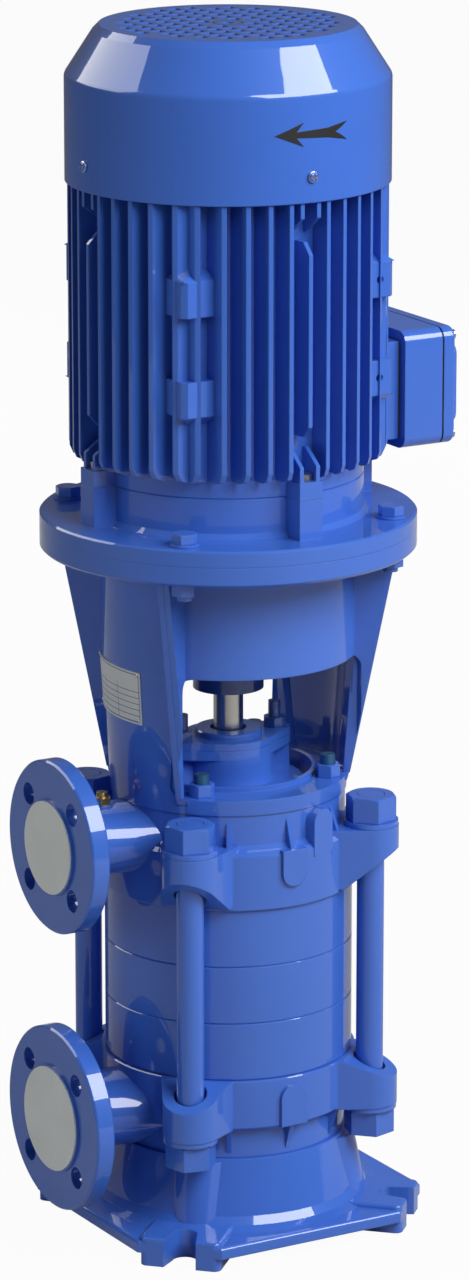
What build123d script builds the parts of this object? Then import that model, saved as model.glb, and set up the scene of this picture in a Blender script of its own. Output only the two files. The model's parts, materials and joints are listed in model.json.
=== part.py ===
from build123d import *
import math
import os

# Vertical multistage pump with a flange motor.  Millimetres.  The shaft axis is +Z, the floor is
# Z = 0, both pipe flanges face -X and the terminal box faces +X.

# ---- Heights of the stacked castings ----
BASE_HEIGHT = 73.5
SUCTION_HEIGHT = 67.5
STAGE_COUNT = 3
STAGE_PITCH = 47.25
DISCHARGE_HEIGHT = 76.25
LANTERN_HEIGHT = 215.0
MOTOR_FLANGE_THICKNESS = 13.0
SHIELD_DRUM_HEIGHT = 31.5
FRAME_LENGTH = 232.5
COWL_HEIGHT = 122.0
COWL_GAP = 0.5

BASE_TOP = BASE_HEIGHT
STAGES_LOW = BASE_TOP + SUCTION_HEIGHT
STAGES_TOP = STAGES_LOW + STAGE_COUNT * STAGE_PITCH
DISCHARGE_TOP = STAGES_TOP + DISCHARGE_HEIGHT
LANTERN_TOP = DISCHARGE_TOP + LANTERN_HEIGHT
FLANGE_TOP = LANTERN_TOP + MOTOR_FLANGE_THICKNESS
FRAME_LOW = FLANGE_TOP + SHIELD_DRUM_HEIGHT
FRAME_TOP = FRAME_LOW + FRAME_LENGTH
COWL_LOW = FRAME_TOP + COWL_GAP
COWL_TOP = COWL_LOW + COWL_HEIGHT

# ---- Fits ----
SLIDE = 0.05
SEAT_GAP = 0.1
RUN_GAP = 0.3
SHAFT_R = 12.0

# ---- Base foot ----
PLATE_HALF = 132.7
PLATE_LOW = 10.5
PLATE_THICKNESS = 9.5
CORNER_REACH = 153.0
PAD_HALF = 33.0
PAD_HEIGHT = 23.5
CONE_TOP_R = 97.0
CONE_FOOT_R = 108.0
CONE_FOOT_RISE = 9.0
BASE_WALL = 10.0
SLOT_R = 10.0
SLOT_REACH = 136.5
SLOT_MOUTH_HALF = 13.5
COLUMN_R = 25.0
COLUMN_TOP_REACH = 79.0
COLUMN_FOOT_REACH = 94.0

# ---- Casings ----
STAGE_R = 100.0
STAGE_BORE_R = STAGE_R - 10.0
BELT_R = STAGE_R + 3.0
NECK_R = STAGE_R - 6.0
CASING_WALL = 9.0
SUCTION_NECK = 26.0
DISCHARGE_BELT = 47.75
DIFFUSER_SEAT_R = STAGE_R - 5.0
DIFFUSER_PLATE = 4.0
EYE_R = 31.0
STAGE_CHAMFER = 0.8
GUSSET_THICKNESS = 4.0
GUSSET_SPREAD = 30.0
PAD_PROUD = 2.5
SUCTION_PAD_HALF = 12.0
DISCHARGE_PAD_HALF = 11.0
DOME_HALF = 10.75
DOME_TURN = 17.0

# ---- Tie rods ----
ROD_REACH = 118.0
ROD_R = 11.0
ROD_HOLE_R = ROD_R + 2.0
ROD_THREAD_R = 12.0
LUG_R = 22.5
LUG_ROOT_HALF = 40.0
LUG_CUT_DEPTH = 60.0
SUCTION_LUG_LOW = BASE_TOP + 26.4
SUCTION_LUG_TIP = 25.0
DISCHARGE_LUG_DEPTH = 24.5
DISCHARGE_LUG_TIP = 19.0
ROD_NUT_FLATS = 36.0
ROD_NUT_HEIGHT = 20.5
ROD_WASHER_R = 22.0
ROD_WASHER_THICKNESS = 4.0

# ---- Pipe flanges: suction DN 40 and discharge DN 32, both drilled 4 x 18 ----
FACE_REACH = 165.0
RAISED_FACE = 2.0
SUCTION_LEVEL = BASE_TOP + 30.0
SUCTION_FLANGE_R = 75.0
SUCTION_RAISED_R = 44.0
SUCTION_PCD = 110.0
SUCTION_BORE_R = 20.0
SUCTION_NECK_R = 29.0
DISCHARGE_LEVEL = DISCHARGE_TOP - 29.0
DISCHARGE_FLANGE_R = 70.0
DISCHARGE_RAISED_R = 39.0
DISCHARGE_PCD = 100.0
DISCHARGE_BORE_R = 16.0
DISCHARGE_NECK_R = 27.0
FLANGE_THICKNESS = 16.0
FLANGE_HOLE_R = 9.0
FLANGE_FILLET = 6.0
COVER_THICKNESS = 1.2
COVER_MARGIN = 1.5
VENT_REACH = 116.0
VENT_BOSS_R = 9.0
VENT_PLUG_R = 6.5

# ---- Lantern ----
JOINT_FLANGE_R = 150.0
LANTERN_FLANGE_THICKNESS = 16.0
BARREL_R = 102.0
BARREL_WALL = 7.0
LANTERN_RING_R = 95.0
LANTERN_RING_THICKNESS = 12.5
LANTERN_BORE_R = 67.0
LIP_HEIGHT = 4.0
LIP_WALL = 4.0
WINDOW_HALF = 82.0
WINDOW_TOP = 112.5
WINDOW_CORNER = 10.0
RIB_TURN = 37.7
RIB_THICKNESS = 10.0
RIB_TOP_REACH = 135.0
RIB_FOOT_REACH = 96.5
LANTERN_STUD_REACH = 82.0
LANTERN_STUD_R = 6.0
LANTERN_STUD_RISE = 18.0
LANTERN_NUT_FLATS = 18.0
LANTERN_NUT_HEIGHT = 10.5
NAMEPLATE_LOW = DISCHARGE_TOP + 68.5
NAMEPLATE_HEIGHT = 43.0
NAMEPLATE_FROM = 150.0
NAMEPLATE_TURN = 47.0
NAMEPLATE_THICKNESS = 0.8

# ---- Shaft seal ----
HOUSING_R = 36.5
HOUSING_BORE_R = 24.0
HOUSING_FOOT_R = 60.0
HOUSING_FOOT_THICKNESS = 6.0
HOUSING_HEIGHT = 36.5
HOUSING_FLANGE = 8.0
HOUSING_DEPTH = 14.0
GLAND_THICKNESS = 6.0
GLAND_HUB_R = 27.0
GLAND_HUB_HEIGHT = 5.0
GLAND_BORE_R = SHAFT_R + 2.6
GLAND_STUD_REACH = 43.0
GLAND_EAR_R = 13.0
GLAND_STUD_R = 5.0
GLAND_STUD_TOP = 21.0
GLAND_NUT_FLATS = 17.0
GLAND_NUT_HEIGHT = 8.0
SEAL_R = 19.0
SEAT_R = 21.0
SEAT_THICKNESS = 7.0

# ---- Pump rotor ----
IMPELLER_R = 74.0
IMPELLER_NECK_R = EYE_R - 1.0
SHROUD = 2.5
PASSAGE = 10.0
HUB_R = SHAFT_R + 5.0
HUB_HEIGHT = 22.0
BLADE_COUNT = 6
BLADE_THICKNESS = 2.5
BLADE_SWEEP = 75.0
BUSH_R = SHAFT_R + 5.0
BUSH_LOW = BASE_TOP + 3.0
BUSH_LENGTH = 24.0
SHAFT_NUT_FLATS = 32.0
SHAFT_NUT_HEIGHT = 12.0
VANE_COUNT = 7
VANE_THICKNESS = 3.0

# ---- Coupling ----
COUPLING_R = 28.4
COUPLING_LOW = DISCHARGE_TOP + 81.1
COUPLING_HUB = 42.0
COUPLING_JAW = 14.0
JAW_COUNT = 3
JAW_ANGLE = 46.0
JAW_INNER_R = 21.0
SPIDER_ANGLE = 10.0

# ---- Motor ----
BOLT_EDGE = 17.5
BOLT_PCD = 2 * (JOINT_FLANGE_R - BOLT_EDGE)
SPIGOT_R = 115.0
SPIGOT_DEPTH = 4.0
FRAME_BORE_R = 97.0
FRAME_CORE_R = FRAME_BORE_R + 8.0
DRUM_R = FRAME_CORE_R + 2.5
DRUM_WALL = 10.0
SHIELD_PAD_REACH = DRUM_R + 20.0
SHIELD_PAD_HALF = 10.3
SHIELD_PAD_RISE = 14.0
FIN_TIP_R = FRAME_CORE_R + 21.0
FIN_PITCH = 16.5
FIN_PAIRS = 5
FIN_THICKNESS = 3.6
FIN_LOW = FRAME_LOW + 14.0
FIN_CORNER = 9.0
CENTRE_FIN_LOW = FRAME_LOW + 48.0
CENTRE_FIN_TOP = FRAME_LOW + 201.0
FOOT_PAD_OUT = FRAME_CORE_R - 10.0
FOOT_PAD_IN = FOOT_PAD_OUT - 31.0
FOOT_PAD_CHAMFER = 4.0
FOOT_PAD_RISES = (68.0, 146.0)
FOOT_PAD_HEIGHT = 28.0
FOOT_PAD_PEAK = 11.0
FOOT_PAD_HOLE_R = 3.0
EAR_HALF = 9.0
EAR_WALL = 3.5
EAR_RISE = 24.0
SHIELD_BOLT_FLATS = 10.0
SHIELD_BOLT_HEAD = 5.5
SHIELD_BOLT_INSET = 9.2
MOTOR_SHAFT_R = 19.0
BEARING_BORE_R = 20.0
BEARING_R = 40.0
BEARING_WIDTH = 18.0
BEARING_INNER_R = 26.0
BEARING_OUTER_INNER_R = 34.0
STATOR_R = FRAME_BORE_R - SEAT_GAP
STATOR_BORE_R = 55.0
STATOR_LOW = FRAME_LOW + 50.0
STATOR_LENGTH = 118.0
WINDING_OVERHANG = 26.0
AIR_GAP = 0.5
FAN_R = 98.0
FAN_HUB_R = 32.0
FAN_LOW = COWL_LOW + 29.0
FAN_HEIGHT = 42.0
FAN_BLADES = 7
FAN_BLADE_THICKNESS = 3.0
COWL_R = FIN_TIP_R + 2.0
COWL_WALL = 2.5
COWL_SHOULDER = 39.0
COWL_CROWN_R = 106.0
COWL_CROWN_DROP = 5.0
GRILLE_R = 93.0
GRILLE_PITCH = 14.0
GRILLE_HOLE = 9.0
GRILLE_EYE_R = 11.0
COWL_SCREW_RISE = 20.0
COWL_SCREW_R = 4.5

# ---- Flange bolts ----
BOLT_R = 6.0
BOLT_HOLE_R = 7.0
BOLT_FLATS = 18.0
BOLT_HEAD = 8.0
BOLT_WASHER_R = 12.0
BOLT_WASHER = 2.0
BOLT_NUT = 10.5

# ---- Terminal box ----
BOX_HALF = 59.0
BOX_LOW = FRAME_LOW + 12.0
BOX_HEIGHT = 95.0
BOX_BACK = FIN_TIP_R + 0.3
BOX_FRONT = BOX_BACK + 38.0
BOX_WALL = 4.0
BOX_CORNER = 10.0
LID_THICKNESS = 10.8
LID_CROWN = 5.5
LID_CROWN_SIDE_INSET = 5.0
LID_CROWN_END_INSET = 14.0
GASKET = 1.5
BOX_NECK_INSET = 8.0
LID_SCREW_R = 4.0
LID_SCREW_INSET = 7.5
GLAND_R = 13.0


# ---- Shape helpers ----
def turned(*points):
    """A solid of revolution about the shaft axis from (radius, height) corners."""
    return revolve(make_face(Polyline(*[(r, 0, z) for r, z in points], close=True)), Axis.Z)


def tube(outer, inner, low, high):
    """A plain ring about the shaft axis."""
    return turned((inner, low), (outer, low), (outer, high), (inner, high))


def rod(radius, low, high, x=0.0, y=0.0):
    """An upright round bar."""
    return Pos(x, y, (low + high) / 2) * Cylinder(radius, high - low)


def block(x_low, x_high, y_low, y_high, low, high):
    """An upright box from its six bounds."""
    size = (x_high - x_low, y_high - y_low, high - low)
    return Pos((x_low + x_high) / 2, (y_low + y_high) / 2, (low + high) / 2) * Box(*size)


def slab(points, thickness):
    """A plate centred on Y = 0 from (x, z) corners."""
    face = make_face(Polyline(*[(x, 0, z) for x, z in points], close=True))
    return extrude(face, amount=thickness / 2, dir=(0, 1, 0), both=True)


def hexagon(flats, low, high, x=0.0, y=0.0):
    """A hexagon prism with its rims rounded off by a turned blank, as a nut has."""
    prism = Pos(x, y, low) * extrude(RegularPolygon(flats / 2, 6, major_radius=False), high - low)
    corner = flats / 2 / math.cos(math.pi / 6)
    drop = (corner - flats / 2) * 0.55
    blank = turned((0, low), (corner, low), (corner, high - drop), (flats / 2, high), (0, high))
    return prism & (Pos(x, y, 0) * blank)


def around(shape, count, start=0.0):
    """Copies of a shape spaced evenly about the shaft axis."""
    return [Rot(0, 0, start + 360 / count * turn) * shape for turn in range(count)]


def sector(outer, inner, low, high, angle):
    """A ring segment centred on +X."""
    reach = outer * 2
    half = math.radians(angle / 2)
    corners = [(0, 0), (reach * math.cos(half), -reach * math.sin(half)),
               (reach * math.cos(half), reach * math.sin(half))]
    wedge = Pos(0, 0, low) * extrude(make_face(Polyline(*corners, close=True)), high - low)
    return tube(outer, inner, low, high) & wedge


def curved_blade(inner, outer, sweep, thickness, low, high):
    """A blade that sweeps back between two radii, bounded by circular arcs."""
    turn = math.radians(sweep)
    middle = (inner + outer) / 2
    path = ThreePointArc((inner, 0), (middle * math.cos(turn * 0.38), middle * math.sin(turn * 0.38)),
                         (outer * math.cos(turn), outer * math.sin(turn)))
    return Pos(0, 0, low) * extrude(trace(path, thickness), high - low)


# ---- Base ----
def base_foot():
    """Cast foot: hollow cone on a rimmed plate, with four slotted corner pads and four columns."""
    plate_top = PLATE_LOW + PLATE_THICKNESS
    cone_foot = plate_top + CONE_FOOT_RISE
    skirt = turned((0, PLATE_LOW), (CONE_FOOT_R + 14, PLATE_LOW), (CONE_FOOT_R + 14, plate_top),
                   (CONE_FOOT_R + 5, plate_top + 3), (CONE_FOOT_R, cone_foot), (CONE_TOP_R, BASE_TOP),
                   (0, BASE_TOP))
    corner = CORNER_REACH * math.sqrt(2) - PLATE_HALF
    outline = []
    for turn in range(4):
        spin = math.radians(90 * turn)
        for x, y in ((PLATE_HALF, corner), (corner, PLATE_HALF)):
            outline.append((x * math.cos(spin) - y * math.sin(spin), x * math.sin(spin) + y * math.cos(spin)))
    plate = Pos(0, 0, PLATE_LOW) * extrude(make_face(Polyline(*outline, close=True)), PLATE_THICKNESS)
    plate = fillet(plate.edges().group_by(Axis.Z)[-1], 3)
    pad = block(60, CORNER_REACH, -PAD_HALF, PAD_HALF, 0, PAD_HEIGHT)
    pad = fillet(pad.edges().filter_by(Axis.Z).group_by(Axis.X)[-1], 6)
    pad = fillet(pad.edges().group_by(Axis.Z)[-1], 2.5)
    lean = Plane(origin=(COLUMN_FOOT_REACH, 0, 0),
                 z_dir=(COLUMN_TOP_REACH - COLUMN_FOOT_REACH, 0, BASE_TOP))
    column = lean * Cylinder(COLUMN_R, BASE_TOP * 2.4)
    column = column & block(0, CORNER_REACH, -PAD_HALF, PAD_HALF, PLATE_LOW, BASE_TOP - 2)
    slot = Pos(SLOT_REACH, 0) * Circle(SLOT_R)
    slot += make_face(Polyline((SLOT_REACH, -SLOT_R), (CORNER_REACH + 1, -SLOT_MOUTH_HALF),
                               (CORNER_REACH + 1, SLOT_MOUTH_HALF), (SLOT_REACH, SLOT_R), close=True))
    slot = Pos(0, 0, -1) * extrude(slot, PAD_HEIGHT + 2)
    body = skirt + plate + around(pad, 4, 45) + around(column, 4, 45)
    hollow = turned((0, -1), (CONE_FOOT_R - BASE_WALL, -1), (CONE_FOOT_R - BASE_WALL, PLATE_LOW),
                    (CONE_TOP_R - BASE_WALL, BASE_TOP - BASE_WALL), (0, BASE_TOP - BASE_WALL))
    body -= hollow
    body -= rod(NECK_R - CASING_WALL - 10, BASE_TOP - BASE_WALL - 1, BASE_TOP + 1)
    return body - around(slot, 4, 45)


# ---- Casings ----
def lug(flat, tip, wall):
    """A tie-rod ear along +X: flat on the nut side, its other side sloping to the casing wall."""
    plan = Pos(ROD_REACH, 0) * Circle(LUG_R)
    plan += Pos(NECK_R - 34, 0) * Rectangle(10, 2 * LUG_ROOT_HALF)
    low, high = min(flat, wall), max(flat, wall)
    body = Pos(0, 0, low) * extrude(make_hull(plan.edges()), high - low)
    away = LUG_CUT_DEPTH if wall > flat else -LUG_CUT_DEPTH
    end = ROD_REACH + LUG_R
    body -= slab([(BELT_R, wall), (end, tip), (end + 10, tip), (end + 10, wall + away),
                  (BELT_R, wall + away)], 4 * LUG_ROOT_HALF)
    return body


def nozzle(level, neck_r, flange_r, raised_r):
    """Neck and flange of one pipe connection, pointing along -X."""
    back = FACE_REACH - RAISED_FACE - FLANGE_THICKNESS
    front = FACE_REACH - RAISED_FACE
    body = turned((0, NECK_R / 2), (neck_r, NECK_R / 2), (neck_r, back - FLANGE_FILLET), (neck_r + FLANGE_FILLET, back), (flange_r - 1.5, back),
                  (flange_r, back + 1.5), (flange_r, front - 1.5), (flange_r - 1.5, front), (raised_r, front),
                  (raised_r, FACE_REACH), (0, FACE_REACH))
    return Pos(0, 0, level) * Rot(0, -90, 0) * body


def nozzle_bores(level, bore_r, pcd):
    """Water bore and four bolt holes of one pipe connection."""
    start = NECK_R / 2 - 5
    tools = [rod(bore_r, start, FACE_REACH + 1)]
    tools += around(rod(FLANGE_HOLE_R, BELT_R + 10, FACE_REACH + 1, pcd / 2), 4, 45)
    return [Pos(0, 0, level) * Rot(0, -90, 0) * tool for tool in tools]


def wall_pad(half, low, high, face_r, arch_up):
    """A raised arch-ended pad on the front of a casing."""
    centre = high - half if arch_up else low + half
    square_low, square_high = (low, centre) if arch_up else (centre, high)
    depth = face_r - NECK_R / 2
    pad = block(-half, half, -face_r, -NECK_R / 2, square_low, square_high)
    return pad + Pos(0, -face_r + depth / 2, centre) * Rot(90, 0, 0) * Cylinder(half, depth)


def gusset(foot, belt):
    """A thin web on +X between the neck and the edge of the belt."""
    return slab([(NECK_R - 4, foot), (NECK_R, foot), (BELT_R - 1, belt), (NECK_R - 4, belt)], GUSSET_THICKNESS)


def suction_casing():
    """Lowest casing: inlet chamber, bottom bearing hub, tie-rod lugs and suction flange."""
    neck_top = BASE_TOP + SUCTION_NECK
    floor = BASE_TOP + CASING_WALL
    body = turned((0, BASE_TOP), (NECK_R, BASE_TOP), (NECK_R, neck_top - 3), (BELT_R - 2, neck_top),
                  (BELT_R, neck_top + 2), (BELT_R, STAGES_LOW - STAGE_CHAMFER),
                  (BELT_R - STAGE_CHAMFER, STAGES_LOW), (0, STAGES_LOW))
    body += around(lug(SUCTION_LUG_LOW, SUCTION_LUG_LOW + SUCTION_LUG_TIP, STAGES_LOW), 4, 45)
    body += nozzle(SUCTION_LEVEL, SUCTION_NECK_R, SUCTION_FLANGE_R, SUCTION_RAISED_R)
    body += wall_pad(SUCTION_PAD_HALF, neck_top + 1, STAGES_LOW - 6, BELT_R + PAD_PROUD, True)
    for turn in (-GUSSET_SPREAD, 0, GUSSET_SPREAD):
        body += Rot(0, 0, turn - 90) * gusset(BASE_TOP + 4, neck_top)
    inlet_top = STAGES_LOW - DIFFUSER_PLATE
    body -= tube(NECK_R - CASING_WALL, BUSH_R + 8, floor, inlet_top)
    body -= rod(BUSH_R + 9, BUSH_LOW + BUSH_LENGTH, inlet_top)
    body -= rod(EYE_R, inlet_top - 1, STAGES_LOW + 1)
    body -= rod(BUSH_R, BUSH_LOW, BUSH_LOW + BUSH_LENGTH + 1)
    body -= around(rod(ROD_HOLE_R, SUCTION_LUG_LOW - 1, STAGES_LOW + 20, ROD_REACH), 4, 45)
    body -= around(rod(ROD_WASHER_R + 0.5, BASE_TOP + 1, SUCTION_LUG_LOW, ROD_REACH), 4, 45)
    return body - nozzle_bores(SUCTION_LEVEL, SUCTION_BORE_R, SUCTION_PCD)


def stage_casing(low):
    """One stage ring with a step in its upper rim for the diffuser plate."""
    high = low + STAGE_PITCH
    step = high - DIFFUSER_PLATE
    return turned((STAGE_BORE_R, low), (STAGE_R - STAGE_CHAMFER, low), (STAGE_R, low + STAGE_CHAMFER),
                  (STAGE_R, high - STAGE_CHAMFER), (STAGE_R - STAGE_CHAMFER, high), (DIFFUSER_SEAT_R, high),
                  (DIFFUSER_SEAT_R, step), (STAGE_BORE_R, step))


def discharge_casing():
    """Top casing: outlet chamber, seal seat, tie-rod lugs and discharge flange."""
    belt_top = STAGES_TOP + DISCHARGE_BELT
    body = turned((0, STAGES_TOP), (BELT_R - STAGE_CHAMFER, STAGES_TOP), (BELT_R, STAGES_TOP + STAGE_CHAMFER),
                  (BELT_R, belt_top - 3), (BELT_R - 3, belt_top), (NECK_R + 3, belt_top + 1),
                  (NECK_R, belt_top + 4), (NECK_R, DISCHARGE_TOP), (0, DISCHARGE_TOP))
    flat = DISCHARGE_TOP - DISCHARGE_LUG_DEPTH
    body += around(lug(flat, flat - DISCHARGE_LUG_TIP, STAGES_TOP + 3), 4, 45)
    body += nozzle(DISCHARGE_LEVEL, DISCHARGE_NECK_R, DISCHARGE_FLANGE_R, DISCHARGE_RAISED_R)
    body += rod(VENT_BOSS_R, DISCHARGE_LEVEL, DISCHARGE_LEVEL + DISCHARGE_NECK_R + 2, -VENT_REACH)
    body += wall_pad(DISCHARGE_PAD_HALF, belt_top - 30, belt_top, BELT_R + PAD_PROUD, False)
    body += Rot(0, 0, DOME_TURN) * wall_pad(DOME_HALF, belt_top - 10, DISCHARGE_TOP - 1, BELT_R, True)
    for turn in (-GUSSET_SPREAD, 0, GUSSET_SPREAD):
        body += Rot(0, 0, turn - 90) * gusset(DISCHARGE_TOP - 5, belt_top)
    body -= tube(NECK_R - CASING_WALL, 0, STAGES_TOP, DISCHARGE_TOP - CASING_WALL)
    body -= rod(HOUSING_R - 2, DISCHARGE_TOP - CASING_WALL - 1, DISCHARGE_TOP + 1)
    body -= around(rod(ROD_HOLE_R, STAGES_TOP - 5, DISCHARGE_TOP, ROD_REACH), 4, 45)
    body -= around(rod(LANTERN_STUD_R + SEAT_GAP, DISCHARGE_TOP - CASING_WALL - 1, DISCHARGE_TOP + 1,
                       LANTERN_STUD_REACH), 4, 45)
    return body - nozzle_bores(DISCHARGE_LEVEL, DISCHARGE_BORE_R, DISCHARGE_PCD)


def flange_cover(level, raised_r):
    """Bare disc that closes a pipe flange."""
    face = rod(raised_r - COVER_MARGIN, FACE_REACH, FACE_REACH + COVER_THICKNESS)
    return Pos(0, 0, level) * Rot(0, -90, 0) * face


def vent_plug():
    """Hexagon plug with a knurled cap in the boss on the discharge neck."""
    top = DISCHARGE_LEVEL + DISCHARGE_NECK_R + 2
    return hexagon(VENT_PLUG_R * 2, top, top + 6, -VENT_REACH) + rod(VENT_PLUG_R - 2, top + 5, top + 10, -VENT_REACH)


# ---- Hydraulics ----
def diffuser(low):
    """Stage diffuser: mid disc, curved return vanes and the plate that holds the next eye."""
    plate_low = low + STAGE_PITCH - DIFFUSER_PLATE
    disc_low = low + HUB_HEIGHT
    disc = tube(IMPELLER_R + 4, HUB_R + RUN_GAP, disc_low, disc_low + SHROUD)
    plate = tube(DIFFUSER_SEAT_R - SEAT_GAP, EYE_R, plate_low, plate_low + DIFFUSER_PLATE)
    vane = curved_blade(EYE_R + 5, STAGE_BORE_R - 4, 50, VANE_THICKNESS, disc_low + 1, plate_low + 1)
    return disc + plate + around(vane, VANE_COUNT)


def impeller(low):
    """Closed impeller with backward-swept blades between two shrouds."""
    passage_low = low + SHROUD + 3
    passage_top = passage_low + PASSAGE
    eye = IMPELLER_NECK_R - SHROUD
    front = turned((eye, low - DIFFUSER_PLATE), (IMPELLER_NECK_R, low - DIFFUSER_PLATE),
                   (IMPELLER_NECK_R, low + 2), (IMPELLER_R, passage_low - SHROUD), (IMPELLER_R, passage_low),
                   (eye, passage_low))
    back = tube(IMPELLER_R, SHAFT_R + SLIDE, passage_top, passage_top + SHROUD)
    hub = tube(HUB_R, SHAFT_R + SLIDE, low, low + HUB_HEIGHT)
    blade = curved_blade(HUB_R + 5, IMPELLER_R - 1, BLADE_SWEEP, BLADE_THICKNESS, passage_low - 1, passage_top + 1)
    return front + back + hub + around(blade, BLADE_COUNT)


def impeller_spacers():
    """Sleeves on the shaft between the impeller hubs."""
    spacers = []
    for stage in range(STAGE_COUNT):
        low = STAGES_LOW + stage * STAGE_PITCH + HUB_HEIGHT
        spacers.append(tube(HUB_R - 1, SHAFT_R + SLIDE, low, low + STAGE_PITCH - HUB_HEIGHT))
    return Compound(spacers)


def shaft_nut():
    """Nut that holds the stack of impellers on the shaft."""
    return hexagon(SHAFT_NUT_FLATS, STAGES_LOW - SHAFT_NUT_HEIGHT, STAGES_LOW) - rod(
        SHAFT_R + SLIDE, STAGES_LOW - SHAFT_NUT_HEIGHT - 1, STAGES_LOW + 1)


def pump_shaft():
    """Stainless shaft from the bottom bush to the coupling."""
    low = BUSH_LOW + 2
    top = COUPLING_LOW + COUPLING_HUB
    return turned((0, low), (SHAFT_R - 1, low), (SHAFT_R, low + 1), (SHAFT_R, top - 1), (SHAFT_R - 1, top),
                  (0, top))


def bottom_bush():
    """Bronze bush that guides the lower end of the shaft."""
    return tube(BUSH_R - SEAT_GAP, SHAFT_R + SLIDE, BUSH_LOW, BUSH_LOW + BUSH_LENGTH)


# ---- Shaft seal ----
def oval(low, high, hub_r):
    """Two-bolt oval flange lying along X."""
    plan = Circle(hub_r) + Pos(GLAND_STUD_REACH, 0) * Circle(GLAND_EAR_R)
    plan += Pos(-GLAND_STUD_REACH, 0) * Circle(GLAND_EAR_R)
    return Pos(0, 0, low) * extrude(make_hull(plan.edges()), high - low)


def seal_housing():
    """Seal chamber standing in the lantern foot, with an oval two-bolt flange."""
    top = DISCHARGE_TOP + HOUSING_HEIGHT
    body = rod(HOUSING_R, DISCHARGE_TOP, top) + rod(HOUSING_R - 2 - SEAT_GAP, DISCHARGE_TOP - CASING_WALL, top - 1)
    body += rod(HOUSING_FOOT_R, DISCHARGE_TOP, DISCHARGE_TOP + HOUSING_FOOT_THICKNESS)
    body += oval(top - HOUSING_FLANGE, top, HOUSING_R)
    reach = GLAND_STUD_REACH + GLAND_EAR_R - 3
    for side in (-1, 1):
        body += slab([(0, DISCHARGE_TOP), (side * (HOUSING_FOOT_R - 6), DISCHARGE_TOP),
                      (side * reach, top - HOUSING_FLANGE), (0, top - HOUSING_FLANGE)], 12)
        body -= rod(GLAND_STUD_R + SEAT_GAP, top - 14, top + 1, side * GLAND_STUD_REACH)
    body -= rod(HOUSING_BORE_R, DISCHARGE_TOP - CASING_WALL + 4, top + 1)
    return body - rod(SHAFT_R + 2, DISCHARGE_TOP - CASING_WALL - 1, top)


def gland_plate():
    """Cover that holds the fixed seal ring."""
    low = DISCHARGE_TOP + HOUSING_HEIGHT
    body = oval(low, low + GLAND_THICKNESS, HOUSING_R)
    body += turned((0, low), (GLAND_HUB_R, low), (GLAND_HUB_R, low + GLAND_THICKNESS + GLAND_HUB_HEIGHT - 1),
                   (GLAND_HUB_R - 1, low + GLAND_THICKNESS + GLAND_HUB_HEIGHT),
                   (0, low + GLAND_THICKNESS + GLAND_HUB_HEIGHT))
    body -= rod(GLAND_BORE_R, low - 1, low + 20)
    for side in (-1, 1):
        body -= rod(GLAND_STUD_R + SEAT_GAP, low - 1, low + 10, side * GLAND_STUD_REACH)
    return body


def gland_studs():
    """Two studs through the gland."""
    top = DISCHARGE_TOP + HOUSING_HEIGHT + GLAND_THICKNESS + GLAND_STUD_TOP
    return Compound([rod(GLAND_STUD_R, DISCHARGE_TOP + HOUSING_HEIGHT - 14, top, side * GLAND_STUD_REACH)
                     for side in (-1, 1)])


def ring_nut(flats, low, high, bore, x, y=0.0):
    """A nut with its bore."""
    return hexagon(flats, low, high, x, y) - rod(bore + SLIDE, low - 1, high + 1, x, y)


def gland_nuts():
    """Nuts of the gland studs."""
    low = DISCHARGE_TOP + HOUSING_HEIGHT + GLAND_THICKNESS
    return Compound([ring_nut(GLAND_NUT_FLATS, low, low + GLAND_NUT_HEIGHT, GLAND_STUD_R, side * GLAND_STUD_REACH)
                     for side in (-1, 1)])


def seal_seat():
    """Fixed ring of the shaft seal, under the gland plate."""
    top = DISCHARGE_TOP + HOUSING_HEIGHT
    return tube(SEAT_R, GLAND_BORE_R, top - SEAT_THICKNESS, top)


def seal_head():
    """Turning ring and spring collar of the shaft seal."""
    top = DISCHARGE_TOP + HOUSING_HEIGHT - SEAT_THICKNESS - RUN_GAP
    return turned((SHAFT_R + SLIDE, top - 26), (SEAL_R, top - 26), (SEAL_R, top - 14), (SEAL_R - 2, top - 13),
                  (SEAL_R - 2, top - 6), (SEAL_R, top - 5), (SEAL_R, top), (SHAFT_R + SLIDE, top))


# ---- Lantern ----
def column_radius(level):
    """Outside radius of the lantern body, which tapers in below the window top."""
    window_top = DISCHARGE_TOP + WINDOW_TOP
    if level >= window_top:
        return BARREL_R
    share = (level - DISCHARGE_TOP) / WINDOW_TOP
    return LANTERN_RING_R + (BARREL_R - LANTERN_RING_R) * share


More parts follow.
